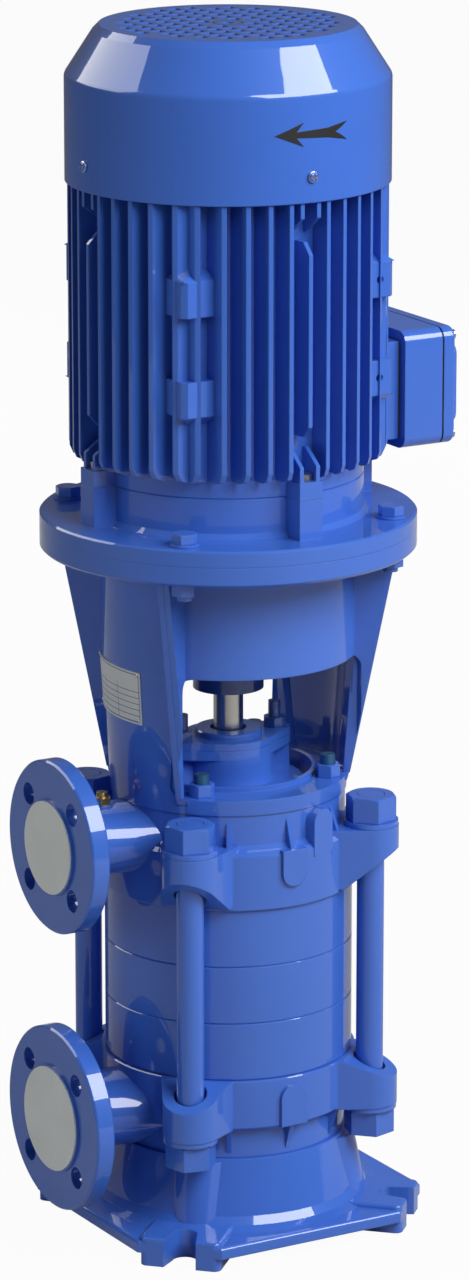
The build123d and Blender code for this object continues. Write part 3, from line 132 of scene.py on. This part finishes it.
EYE_INNER = 0.0045
EYE_OUTER = 0.0118
EYE_DEPTH = 0.002

FOOT_RING = 0.0125
RIB_TURN = math.radians(37.7)
RIB_THICKNESS = 0.010
RIB_FOOT_REACH = 0.0957
RIB_TOP_REACH = 0.1352
WEB_SINK = 0.002
COLUMN_INNER = 0.0868
COLUMN_WALL = 0.007
COLUMN_SLOPE = 0.007 / 0.096
BARREL_RADIUS = 0.102
WINDOW_HALF = 0.082
WINDOW_HEAD = LANTERN_LOW + 0.1125
COLUMN_EDGE = 0.0785

NECK_BACK = 0.149
NECK_ROOT = 0.080
NECK_SPREAD = 0.016
NECK_RISE = 0.002
NECK_WALL = 0.003
NECK_RADII = {"suction_flange_cover": 0.029, "discharge_flange_cover": 0.027}


# ---- Surfaces ----
def grid_mesh(name, grids, body, closed=True):
    """One mesh from several grids of points, each rows by columns by xyz.

    Neighbouring points make a four-sided face.  A closed grid's last column joins its first, and rows
    that shrink to one point are merged into a pole.
    """
    points, faces, start = [], [], 0
    for grid in grids:
        rows, columns = grid.shape[:2]
        row = np.arange(rows - 1)[:, None]
        column = np.arange(columns if closed else columns - 1)[None, :]
        after = (column + 1) % columns
        corners = [row * columns + column, row * columns + after,
                   (row + 1) * columns + after, (row + 1) * columns + column]
        faces.append(np.stack(corners, axis=-1).reshape(-1, 4) + start)
        points.append(grid.reshape(-1, 3))
        start += rows * columns
    mesh = bpy.data.meshes.new(name)
    mesh.from_pydata(np.concatenate(points), [], np.concatenate(faces))
    surface = bmesh.new()
    surface.from_mesh(mesh)
    bmesh.ops.remove_doubles(surface, verts=surface.verts, dist=1e-6)
    bmesh.ops.recalc_face_normals(surface, faces=surface.faces)
    surface.to_mesh(mesh)
    surface.free()
    piece = bpy.data.objects.new(name, mesh)
    bpy.context.scene.collection.objects.link(piece)
    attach(piece, body)
    return piece


def shade_smooth(piece, angle=40):
    """Smooth shading that keeps edges sharper than an angle."""
    piece.data.shade_smooth()
    piece.data.set_sharp_from_angle(angle=math.radians(angle))
    return piece


def rows_of(first, last, count):
    """Evenly spaced values down a column, one for each row of a grid."""
    return np.linspace(first, last, count)[:, None]


def full_turn(count):
    """Evenly spaced angles of one full turn, one for each column of a grid."""
    return np.linspace(0, 2 * math.pi, count, endpoint=False)[None, :]


def points_at(x, y, z):
    """Grid of points whose coordinates may be numbers, rows or columns."""
    return np.stack(np.broadcast_arrays(x, y, z), axis=-1)


def ring_grid(radius, height, angle):
    """Grid of points at a radius, a height and an angle round the local Z axis."""
    return points_at(radius * np.cos(angle), radius * np.sin(angle), height)


def revolved(profile, angle):
    """Rings of points, one for each radius and height of a profile."""
    return np.concatenate([ring_grid(radius, height, angle) for radius, height in profile])


def compass(turn):
    """Level direction at an angle from the X axis."""
    return np.array((math.cos(turn), math.sin(turn), 0))


def stand(points, centre, outward):
    """Turns local points so that their Z points outward from a centre."""
    across = np.cross((0, 0, 1), outward)
    basis = np.stack([across, np.cross(outward, across), outward])
    return np.array(centre) + points @ basis


def capped(rows):
    """Closes both ends of a stack of rows with a pole at the middle of the end row."""
    first, last = [np.broadcast_to(row.mean(axis=1, keepdims=True), row.shape) for row in (rows[:1], rows[-1:])]
    return np.concatenate([first, rows, last])


# ---- Forms of the small pieces ----
def pan_head(radius, height):
    """Domed screw head with a cross recess.

    Over the head the height is a flat dome, height times 1 minus a share of the fourth power of r over
    R, less the recess.  The recess depth rises from nothing to full over a short slope at the edge of
    two crossed slots, whose distance is the smaller of the distances to the two rectangles.
    """
    angle = full_turn(64)
    share = rows_of(0, 1, 26)
    x, y = radius * share * np.cos(angle), radius * share * np.sin(angle)
    slot_half, slot_end = CROSS_HALF * radius, CROSS_REACH * radius
    first = np.maximum(abs(x) - slot_half, abs(y) - slot_end)
    second = np.maximum(abs(y) - slot_half, abs(x) - slot_end)
    depth = np.clip(0.5 - np.minimum(first, second) / (CROSS_SLOPE * radius), 0, 1) * CROSS_DEPTH * height
    top = height * (1 - PAN_CROWN * share ** 4) - depth
    return np.concatenate([points_at(x, y, top), revolved([(radius, 0), (0, 0)], angle)])


def thread(radius, low, high):
    """Screw thread on a stud.

    The radius at a height and an angle is the outer radius less the depth times a triangle wave of
    height over pitch minus the share of a turn.  Both ends close on the axis.
    """
    angle = full_turn(32)
    height = rows_of(low, high, max(THREAD_ROWS, int((high - low) / THREAD_PITCH * THREAD_ROWS)))
    phase = (height / THREAD_PITCH - angle / (2 * math.pi)) % 1
    fade = np.clip((high - height) / THREAD_PITCH, 0, 1)
    r = radius + PROUD - THREAD_DEPTH * (1 - abs(2 * phase - 1) * fade)
    return np.concatenate([ring_grid(0, low, angle), ring_grid(r, height, angle), ring_grid(0, high, angle)])


def socket_head():
    """Cap screw head with a hexagon socket.

    Rows run from the socket floor up its wall, over the rim and down the side to the foot.  A hexagon
    row has radius apothem over the cosine of the angle to the nearest flat.
    """
    angle = full_turn(48)
    hexagon = SOCKET_R / np.cos((angle + math.pi / 6) % (math.pi / 3) - math.pi / 6)
    top, floor_level = SOCKET_HEAD_HEIGHT, SOCKET_HEAD_HEIGHT - SOCKET_DEPTH
    return revolved([(0, floor_level), (hexagon, floor_level), (hexagon, top),
                     (SOCKET_HEAD_R - SOCKET_HEAD_EDGE, top), (SOCKET_HEAD_R, top - SOCKET_HEAD_EDGE),
                     (SOCKET_HEAD_R, 0), (0, 0)], angle)


def rivet_head():
    """Rivet head: a half sphere flattened to a share of its radius, closed underneath."""
    angle = full_turn(24)
    lift = rows_of(math.pi / 2, 0, 7)
    cap = ring_grid(RIVET_R * np.cos(lift), RIVET_RISE * RIVET_R * np.sin(lift), angle)
    return np.concatenate([cap, ring_grid(0, 0, angle)])


def gland_grip(radius):
    """Ridged dome nut of the cable gland.

    The radius is a little under the nut's own plus a small ridge that follows the size of the cosine
    of half the ridge count times the angle, and fades at both ends.
    """
    angle = full_turn(144)
    along = rows_of(0, 1, 9)
    swell = np.sin(math.pi * along) ** GRIP_EASE
    r = radius - GRIP_INSET + GRIP_RIDGE * swell * abs(np.cos(GRIP_RIDGES / 2 * angle))
    return ring_grid(r, GRIP_FROM + GRIP_LENGTH * along, angle)


def rib_web(turn):
    """Web that carries a lantern rib down to the foot ring.

    Each row is a rectangle at one height: it starts inside the column wall and ends on the straight
    sloping line from the rib foot to the rib top, and it lies on the column side of the rib's middle.
    """
    height = rows_of(LANTERN_LOW + FOOT_RING, RIB_TOP, 12)
    share = (height - LANTERN_LOW) / (RIB_TOP - LANTERN_LOW)
    outer_wall = COLUMN_INNER + COLUMN_WALL + (height - LANTERN_LOW) * COLUMN_SLOPE
    inner = np.minimum(outer_wall, BARREL_RADIUS) - WEB_SINK
    outer = RIB_FOOT_REACH + (RIB_TOP_REACH - RIB_FOOT_REACH) * share
    reach = np.concatenate([inner, outer, outer, inner], axis=1)
    column_side = -np.sign(math.tan(turn)) * (RIB_THICKNESS / 2 + PROUD)
    side = np.array([column_side, column_side, 0, 0])[None, :]
    return capped(points_at(reach * math.cos(turn) - side * math.sin(turn),
                            reach * math.sin(turn) + side * math.cos(turn), height))


def column_edge(turn):
    """Strip that brings a lantern column out to its rib.

    Each row follows the inner wall from the window cut outwards and the outer wall back.  A point lies
    where the radius times the cosine of its angle is its distance from the middle of the window.
    """
    height = rows_of(LANTERN_LOW + FOOT_RING, WINDOW_HEAD, 16)
    inner = COLUMN_INNER + (height - LANTERN_LOW) * COLUMN_SLOPE
    strip = np.linspace(WINDOW_HALF + PROUD, COLUMN_EDGE, 6)[None, :]
    sides = [ring_grid(radius, height, np.arccos(distance / radius))
             for radius, distance in ((inner, strip), (inner + COLUMN_WALL, strip[:, ::-1]))]
    quadrant = np.sign((math.cos(turn), math.sin(turn), 1))
    return capped(np.concatenate(sides, axis=1) * quadrant)


def neck_flare(level, radius):
    """Neck that widens from the round flange hub to a flat oval at the casing.

    Along the neck u runs from 0 to 1.  A row is an ellipse whose half width is the radius plus u times
    the spread, and whose half height is the radius plus u times a small rise.  The inner wall follows
    the outer one back, so the shell is closed.
    """
    u = rows_of(0, 1, 20)
    angle = full_turn(72)
    x = -(NECK_BACK + u * (NECK_ROOT - NECK_BACK))
    outer, inner = [points_at(x, (radius + wall + NECK_SPREAD * u) * np.cos(angle),
                              level + (radius + wall + NECK_RISE * u) * np.sin(angle))
                    for wall in (PROUD, -NECK_WALL)]
    return np.concatenate([outer, inner[::-1], outer[:1]])


def arrow_patch(front, back, half_height):
    """Part of the arrow between a front and a back edge, bent round the cowl.

    Across the patch v runs from -1 to 1 and the height is v times the half height.  Along it u runs
    from the front edge to the back edge.  Distance along the arrow is an arc round the cowl.
    """
    u = rows_of(0, 1, 24)
    v = np.linspace(-1, 1, 13)[None, :]
    along = (1 - u) * front(abs(v)) + u * back(abs(v))
    return ring_grid(COWL_RADIUS + ARROW_FILM / 2, COWL_LOW + ARROW_RISE + v * half_height(along),
                     ARROW_TURN + along / COWL_RADIUS)


def arrow_head_half(along):
    """Half height of the arrow head, the same all along."""
    return np.full_like(along, ARROW_HEAD_HALF)


def arrow_shaft_half(along):
    """Half height of the arrow shaft, widening to the tail."""
    return np.interp(along, [ARROW_NECK, ARROW_FLARE_FROM, ARROW_LENGTH], ARROW_SHAFT_HALF)


# ---- Lantern ribs, column edges and pipe necks ----
rib_turns = [way * RIB_TURN + half for half in (0, math.pi) for way in (-1, 1)]
ribs = grid_mesh("lantern_rib_webs", [rib_web(turn) for turn in rib_turns], STATIC)
edges = grid_mesh("lantern_column_edges", [column_edge(turn) for turn in rib_turns], STATIC)
shade_smooth(edges, 30)

necks = [neck_flare(middle_of(cover)[2], radius) for cover, radius in NECK_RADII.items()]
neck_shells = shade_smooth(grid_mesh("pipe_necks", necks, STATIC))

# ---- Direction arrow ----
head = arrow_patch(lambda v: ARROW_HEAD * v, lambda v: ARROW_NECK + (ARROW_HEAD - ARROW_NECK) * v,
                   arrow_head_half)
tail = arrow_patch(lambda v: ARROW_NECK + ARROW_NECK_BOW * v,
                   lambda v: ARROW_LENGTH - ARROW_NOTCH * (1 - v), arrow_shaft_half)
arrow = grid_mesh("direction_arrow", [head, tail], STATIC, closed=False)
film = arrow.modifiers.new("film", "SOLIDIFY")
film.thickness = ARROW_FILM
film.offset = 0

# ---- Screws on the cowl and the lid ----
quarter_turns = [math.pi / 2 * quarter for quarter in range(4)]
screw_low, screw_high = low_of("cowl_screws"), high_of("cowl_screws")
screw_radius = (screw_high[2] - screw_low[2]) / 2
heads = []
for turn in quarter_turns:
    centre = compass(turn) * (screw_high[0] - COWL_HEAD_FOOT) + (0, 0, middle_of("cowl_screws")[2])
    heads.append(stand(pan_head(screw_radius + PROUD, COWL_HEAD_HEIGHT), centre, compass(turn)))
cowl_screw_heads = shade_smooth(grid_mesh("cowl_screw_heads", heads, STATIC))

lid_low, lid_high = low_of("lid_screws"), high_of("lid_screws")
lid_head = pan_head(LID_HEAD_R + PROUD, lid_high[0] - LID_FACE + LID_HEAD_RISE)
heads = []
for y in (lid_low[1] + LID_HEAD_R, lid_high[1] - LID_HEAD_R):
    for z in (lid_low[2] + LID_HEAD_R, lid_high[2] - LID_HEAD_R):
        heads.append(stand(lid_head, (LID_FACE, y, z), (1, 0, 0)))
lid_screw_heads = shade_smooth(grid_mesh("lid_screw_heads", heads, STATIC))


# ---- Threads ----
def stud_threads(name, stud_node, nut_node, radius, sides):
    """Threads on the free ends of studs at both sides of the shaft along X and at some sides along Y."""
    reach = high_of(stud_node)[0] - radius
    threaded = thread(radius, high_of(nut_node)[2], high_of(stud_node)[2] + PROUD)
    studs = [threaded + np.array((x, y, 0)) * reach for x in (-1, 1) for y in sides]
    return shade_smooth(grid_mesh(name, studs, STATIC), 60)


lantern_threads = stud_threads("lantern_stud_threads", "lantern_studs", "lantern_nuts", LANTERN_STUD_R, (-1, 1))
gland_threads = stud_threads("gland_stud_threads", "gland_studs", "gland_nuts", GLAND_STUD_R, (0,))

# ---- Screws of the seal housing ----
screws = [socket_head() + compass(math.pi / 4 + turn) * HOUSING_SCREW_REACH + (0, 0, CASING_TOP + HOUSING_FOOT)
          for turn in quarter_turns]
housing_screws = shade_smooth(grid_mesh("seal_housing_screws", screws, STATIC))

# ---- Nameplate rivets ----
# The plate lies on the lantern column: its ends are angles from -X, levels, and reaches at both levels.
plate = np.empty(3 * len(nodes["nameplate"].data.vertices))
nodes["nameplate"].data.vertices.foreach_get("co", plate)
plate_x, plate_y, plate_z = plate.reshape(-1, 3).T
plate_turn = np.arctan2(-plate_y, -plate_x)
plate_reach = np.hypot(plate_x, plate_y)
turn_ends = (plate_turn.min(), plate_turn.max())
level_ends = (plate_z.min(), plate_z.max())
reach_ends = (plate_reach[plate_z < level_ends[0] + PLATE_END].max(),
              plate_reach[plate_z > level_ends[1] - PLATE_END].max())
rivets = []
for level in (level_ends[0] + RIVET_INSET, level_ends[1] - RIVET_INSET):
    reach = np.interp(level, level_ends, reach_ends)
    for turn in (turn_ends[0] + RIVET_INSET / reach, turn_ends[1] - RIVET_INSET / reach):
        rivets.append(stand(rivet_head(), -compass(turn) * reach + (0, 0, level), -compass(turn)))
plate_rivets = shade_smooth(grid_mesh("nameplate_rivets", rivets, STATIC))

# ---- Ring in the cowl's grille, and grip of the cable gland ----
eye = revolved([(EYE_INNER, COWL_TOP), (EYE_INNER, COWL_TOP - EYE_DEPTH), (EYE_OUTER, COWL_TOP - EYE_DEPTH),
                (EYE_OUTER, COWL_TOP), (EYE_INNER, COWL_TOP)], full_turn(64))
grille_eye = shade_smooth(grid_mesh("grille_eye_ring", [eye], STATIC))

gland_x, _, gland_z = middle_of("cable_gland")
gland_radius = (high_of("cable_gland")[0] - low_of("cable_gland")[0]) / 2
grip = stand(gland_grip(gland_radius), (gland_x, high_of("terminal_box")[1], gland_z), (0, 1, 0))
gland_nut = shade_smooth(grid_mesh("cable_gland_grip", [grip], STATIC), 50)


# ---- Material maths ----
class Number:
    """A number socket; an expression on it adds Math nodes."""

    def __init__(self, maker, socket):
        self.maker = maker
        self.socket = socket

    def __add__(self, other):
        return self.maker.maths("ADD", self, other)

    def __sub__(self, other):
        return self.maker.maths("SUBTRACT", self, other)

    def __mul__(self, other):
        return self.maker.maths("MULTIPLY", self, other)

    def __truediv__(self, other):
        return self.maker.maths("DIVIDE", self, other)

    def __lt__(self, other):
        return self.maker.maths("LESS_THAN", self, other)

    __radd__ = __add__
    __rmul__ = __mul__


class Shading:
    """A node tree, of a material or of the world, whose nodes are made through one method."""

    def __init__(self, tree):
        self.tree = tree
        self.tree.nodes.clear()

    def node(self, kind, settings=None, inputs=None):
        """A node of a type, with its settings made first and then its sockets given values or links."""
        made = self.tree.nodes.new(kind)
        for setting, value in (settings or {}).items():
            setattr(made, setting, value)
        for socket, value in (inputs or {}).items():
            if isinstance(value, Number):
                value = value.socket
            if isinstance(value, bpy.types.NodeSocket):
                self.tree.links.new(value, made.inputs[socket])
            else:
                made.inputs[socket].default_value = value
        return made

    def maths(self, operation, *values):
        """Number that a Math node makes of one or two values."""
        made = self.node("ShaderNodeMath", {"operation": operation}, dict(enumerate(values)))
        return Number(self, made.outputs[0])

    def white_share(self):
        """How white the room looks: fully to the eye and through glass, and dimly in a reflection."""
        rays = self.node("ShaderNodeLightPath")
        mirrored = Number(self, rays.outputs["Is Glossy Ray"]) * GLOSSY_ROOM
        seen = self.maths("MAXIMUM", rays.outputs["Is Camera Ray"], mirrored)
        return self.maths("MAXIMUM", seen, rays.outputs["Is Transmission Ray"])


class Finish(Shading):
    """A material laid out in the coordinates of its object."""

    def __init__(self, name):
        self.material = bpy.data.materials.new(name)
        self.material.use_nodes = True
        super().__init__(self.material.node_tree)
        self.place = self.node("ShaderNodeTexCoord").outputs["Object"]
        split = self.node("ShaderNodeSeparateXYZ", inputs={0: self.place})
        self.x, self.y, self.z = [Number(self, split.outputs[axis]) for axis in "XYZ"]

    def noise(self, scale, detail=2.0, roughness=0.5):
        """Soft noise between 0 and 1; scale is in cells for each metre."""
        inputs = {"Vector": self.place, "Scale": scale, "Detail": detail, "Roughness": roughness}
        return Number(self, self.node("ShaderNodeTexNoise", inputs=inputs).outputs["Fac"])

    def mix(self, share, first, second):
        """Colour between two colours."""
        inputs = {0: share, 6: first, 7: second}
        return self.node("ShaderNodeMix", {"data_type": "RGBA"}, inputs).outputs[2]

    def tone(self, share, colour, darker, lighter):
        """A colour that drifts between a darker and a lighter factor of itself."""
        shades = [tuple(channel * factor for channel in colour) + (1.0,) for factor in (darker, lighter)]
        return self.mix(share, *shades)

    def bump(self, height, distance, normal=None):
        """Normal of a height that varies between 0 and 1 over a distance."""
        inputs = {"Height": height, "Distance": distance, "Strength": 1.0}
        if normal is not None:
            inputs["Normal"] = normal
        return self.node("ShaderNodeBump", inputs=inputs).outputs["Normal"]

    def rounded(self, radius):
        """Normal that rounds the edges by a radius."""
        return self.node("ShaderNodeBevel", {"samples": 4}, {"Radius": radius}).outputs["Normal"]

    def surface(self, **inputs):
        """Ends the material with a Principled shader."""
        names = {key.replace("_", " "): value for key, value in inputs.items()}
        shader = self.node("ShaderNodeBsdfPrincipled", inputs=names)
        self.node("ShaderNodeOutputMaterial", inputs={"Surface": shader.outputs[0]})
        return self.material


# ---- Finishes ----
CAST_EDGE = 0.0014
FINE_EDGE = 0.0004
ENAMEL_SKIN = 0.000006
METAL_SKIN = 0.00003
PLATE_SKIN = 0.00002
STRANDS = 150
STRAND_SLANT = 400
STRAND_DEPTH = 0.0008
BORDER_INSET = 0.0019
RULE_HALF = 0.00035
ROW_RULE = 1.6 * RULE_HALF
ROW_PITCH = 0.0049
ROW_SHIFT = 0.62
COLUMN_RULE_HALF = 0.8 * RULE_HALF
COLUMN_RULES = (-0.011, 0.012)
BLANK_HEAD = 0.012


def enamel(name, colour):
    """Glossy enamel on a casting: broad tone drift, fine orange peel and rounded edges."""
    finish = Finish(name)
    peel = finish.noise(420, 2) * 0.6 + finish.noise(1500, 2) * 0.4
    return finish.surface(
        Base_Color=finish.tone(finish.noise(7, 3), colour, 0.93, 1.07),
        Roughness=0.32 + 0.08 * finish.noise(60, 3),
        Specular_IOR_Level=0.1,
        Coat_Weight=1.0,
        Coat_Roughness=0.03,
        Coat_IOR=1.6,
        Normal=finish.bump(peel, ENAMEL_SKIN, finish.rounded(CAST_EDGE)))


def metal(name, colour, roughness=0.3, pitch=0.0, metallic=1.0):
    """Bare metal with fine scratches, and turning marks along Z where a pitch is given."""
    finish = Finish(name)
    grain = finish.noise(900, 4, 0.7)
    height = grain
    if pitch:
        inputs = {"Vector": finish.place, "Scale": 1 / (20 * pitch), "Distortion": 1.5, "Detail": 3.0}
        marks = finish.node("ShaderNodeTexWave", {"bands_direction": "Z"}, inputs)
        height = Number(finish, marks.outputs["Fac"]) * 0.7 + grain * 0.3
    return finish.surface(
        Base_Color=finish.tone(finish.noise(30, 4), colour, 0.86, 1.06),
        Metallic=metallic,
        Roughness=roughness - 0.06 + 0.14 * grain,
        Normal=finish.bump(height, METAL_SKIN, finish.rounded(FINE_EDGE)))


def moulded(name, colour, roughness, texture):
    """Moulded plastic, rubber or ceramic with a fine even grain of some depth."""
    finish = Finish(name)
    grain = finish.noise(1800, 2)
    return finish.surface(
        Base_Color=finish.tone(finish.noise(40, 3), colour, 0.92, 1.06),
        Roughness=roughness - 0.05 + 0.1 * grain,
        Normal=finish.bump(grain, texture, finish.rounded(FINE_EDGE)))


def winding():
    """Copper wire heads: round strands side by side round the core, under varnish. Painted shade darkens the
    colour in the grooves between strands while the crests stay plain copper, and the same wave also bumps the
    surface.
    """
    finish = Finish("copper")
    turn = finish.maths("ARCTAN2", finish.y, finish.x)
    strand_ridge_and_shade = finish.maths("SINE", turn * STRANDS + finish.z * STRAND_SLANT) * 0.5 + 0.5
    return finish.surface(
        # painted shade: dark brown in the grooves between strands, plain copper on their crests
        Base_Color=finish.mix(strand_ridge_and_shade, (0.16, 0.06, 0.02, 1), (0.62, 0.3, 0.14, 1)),
        Metallic=0.7,
        Roughness=0.42,
        Normal=finish.bump(strand_ridge_and_shade, STRAND_DEPTH))


def ruled_plate():
    """Blank rating plate: pale anodised metal with a printed border and ruled rows.

    The arc across the plate is the angle times the column radius.  A rule is drawn where the distance
    to the nearest row or column line is less than half a rule.
    """
    finish = Finish("plate_metal")
    radius = sum(reach_ends) / 2
    left, right = turn_ends[0] * radius, turn_ends[1] * radius
    bottom, top = level_ends
    arc = finish.maths("ARCTAN2", finish.y * -1, finish.x * -1) * radius - (left + right) / 2
    across = finish.maths("ABSOLUTE", arc)
    upward = finish.maths("ABSOLUTE", finish.z - (bottom + top) / 2)
    border_across = (right - left) / 2 - BORDER_INSET
    border_upward = (top - bottom) / 2 - BORDER_INSET
    below_head = finish.z < top - BLANK_HEAD

    step = finish.maths("FRACT", (finish.z - bottom) / ROW_PITCH + ROW_SHIFT)
    first, second = [finish.maths("ABSOLUTE", arc - line) < COLUMN_RULE_HALF for line in COLUMN_RULES]
    rules = finish.maths("MAXIMUM", step < ROW_RULE / ROW_PITCH, finish.maths("MAXIMUM", first, second))
    table = rules * below_head * (across < border_across) * (upward < border_upward)

    sides = (finish.maths("ABSOLUTE", across - border_across) < RULE_HALF) * (upward < border_upward + RULE_HALF)
    ends = (finish.maths("ABSOLUTE", upward - border_upward) < RULE_HALF) * (across < border_across + RULE_HALF)
    printed = finish.maths("MAXIMUM", table, finish.maths("MAXIMUM", sides, ends))
    return finish.surface(
        Base_Color=finish.mix(printed, (0.66, 0.69, 0.68, 1), (0.05, 0.09, 0.2, 1)),
        Metallic=0.25,
        Roughness=0.36 + 0.1 * finish.noise(300, 3),
        Normal=finish.bump(finish.noise(900, 2), PLATE_SKIN))


def paint(thing, material):
    """Gives a piece or a node one material."""
    thing.data.materials.clear()
    thing.data.materials.append(material)


finishes = {
    "blue_paint": enamel("blue_paint", (0.046, 0.14, 0.56)),
    "blue_paint_shaded": enamel("blue_paint_shaded", (0.03, 0.075, 0.3)),
    "stainless": metal("stainless", (0.6, 0.58, 0.54), 0.24, pitch=0.0006),
    "steel": metal("steel", (0.5, 0.5, 0.52), 0.3, pitch=0.0008),
    "bronze": metal("bronze", (0.52, 0.33, 0.15), 0.34, pitch=0.0008),
    "brass": metal("brass", (0.72, 0.5, 0.18), 0.28),
    "copper": winding(),
    "rubber": moulded("rubber", (0.02, 0.02, 0.021), 0.7, 0.00008),
    "cover_grey": moulded("cover_grey", (0.74, 0.78, 0.77), 0.42, 0.00002),
    "plate_metal": ruled_plate(),
    "rivet_metal": metal("rivet_metal", (0.6, 0.62, 0.64), 0.35),
    "zinc_teal": metal("zinc_teal", (0.035, 0.13, 0.27), 0.36, metallic=0.6),
    "black_plastic": moulded("black_plastic", (0.006, 0.006, 0.007), 0.5, 0.00005),
    "ceramic": moulded("ceramic", (0.7, 0.68, 0.62), 0.25, 0.00001),
    "cast_iron": metal("cast_iron", (0.18, 0.18, 0.19), 0.55, metallic=0.7),
}
for part in frame["record"]["subparts"]:
    paint(nodes[part["node"]], finishes[part["material_slot"]])
for node in ("flange_bolts", "flange_nuts", "flange_washers"):
    paint(nodes[node], finishes["blue_paint"])
for node in ("motor_coupling_hub", "pump_coupling_hub", "gland_studs", "gland_nuts"):
    paint(nodes[node], finishes["blue_paint_shaded"])

dressed = {
    "blue_paint": (ribs, edges, neck_shells, cowl_screw_heads, lid_screw_heads, housing_screws, grille_eye),
    "blue_paint_shaded": (gland_threads,),
    "black_plastic": (arrow, gland_nut),
    "zinc_teal": (lantern_threads,),
    "rivet_metal": (plate_rivets,),
}
for finish, pieces in dressed.items():
    for piece in pieces:
        paint(piece, finishes[finish])

# ---- Floor, light and camera ----
WHITE = (1, 1, 1, 1)
FLOOR_GREY = (0.4, 0.4, 0.4, 1)
FLOOR_GLOW = 0.96
FLOOR_HALF = 16.0
FLOOR_DROP = 0.0003
GLOSSY_ROOM = 0.07
ROOM_LIGHT = 0.05
LAMP_AIM = Vector((0, 0, 0.6))
CAMERA_PLACE = (-2.1312, -3.6570, 1.5869)
CAMERA_TILT = math.radians(75.32)
CAMERA_PAN = math.radians(-30.3)
CAMERA_LENS = 154.0
CAMERA_SENSOR = 36.0


def floor_finish():
    """White floor: the eye sees it mostly as plain white, and it still takes the pump's shadow."""
    finish = Finish("floor")
    matt = finish.node("ShaderNodeBsdfDiffuse", inputs={"Color": FLOOR_GREY})
    glow = finish.node("ShaderNodeEmission", inputs={"Color": WHITE, "Strength": 1.0})
    both = finish.node("ShaderNodeMixShader", inputs={
        0: finish.white_share() * FLOOR_GLOW, 1: matt.outputs[0], 2: glow.outputs[0]})
    finish.node("ShaderNodeOutputMaterial", inputs={"Surface": both.outputs[0]})
    return finish.material


corners = FLOOR_HALF * np.array([(-1, -1, 0), (1, -1, 0), (1, 1, 0), (-1, 1, 0)]) - (0, 0, FLOOR_DROP)
floor_mesh = bpy.data.meshes.new("floor")
floor_mesh.from_pydata(corners, [], [(0, 1, 2, 3)])
floor_mesh.materials.append(floor_finish())
floor = bpy.data.objects.new("floor", floor_mesh)
bpy.context.scene.collection.objects.link(floor)

world = bpy.data.worlds.new("studio")
bpy.context.scene.world = world
world.use_nodes = True
sky = Shading(world.node_tree)
backdrop = sky.node("ShaderNodeBackground", inputs={
    "Color": WHITE, "Strength": sky.white_share() * (1 - ROOM_LIGHT) + ROOM_LIGHT})
sky.node("ShaderNodeOutputWorld", inputs={"Surface": backdrop.outputs[0]})


def softbox(name, turn, rise, distance, size, power, mirrored=True, lighting=True):
    """Rectangular lamp aimed at the pump; turn is in degrees to the right of the camera.

    Mirrored lamps show in glossy surfaces, and lighting lamps brighten matt ones.
    """
    lamp = bpy.data.lights.new(name, "AREA")
    lamp.shape = "RECTANGLE"
    lamp.size, lamp.size_y = size
    lamp.energy = power
    holder = bpy.data.objects.new(name, lamp)
    heading = math.atan2(CAMERA_PLACE[1], CAMERA_PLACE[0]) + math.radians(turn)
    lift = math.radians(rise)
    away = Vector((math.cos(heading) * math.cos(lift), math.sin(heading) * math.cos(lift), math.sin(lift)))
    holder.location = LAMP_AIM + away * distance
    holder.rotation_euler = (-away).to_track_quat("-Z", "Y").to_euler()
    holder.visible_camera = False
    holder.visible_diffuse = lighting
    holder.visible_glossy = mirrored
    bpy.context.scene.collection.objects.link(holder)


softbox("right_softbox", turn=55, rise=38, distance=3.2, size=(3.2, 1.8), power=160)
softbox("left_reflector", turn=-108, rise=34, distance=3.2, size=(3.2, 1.8), power=62, lighting=False)
softbox("left_fill", turn=-70, rise=8, distance=3.4, size=(2.6, 2.2), power=26, mirrored=False)
softbox("rear_fill", turn=175, rise=22, distance=3.6, size=(3.0, 2.6), power=70, mirrored=False)

camera_data = bpy.data.cameras.new("camera")
camera_data.lens = CAMERA_LENS
camera_data.sensor_width = CAMERA_SENSOR
camera = bpy.data.objects.new("camera", camera_data)
camera.location = CAMERA_PLACE
camera.rotation_euler = (CAMERA_TILT, 0, CAMERA_PAN)
bpy.context.scene.collection.objects.link(camera)
bpy.context.scene.camera = camera
bpy.context.scene.view_settings.view_transform = "Standard"
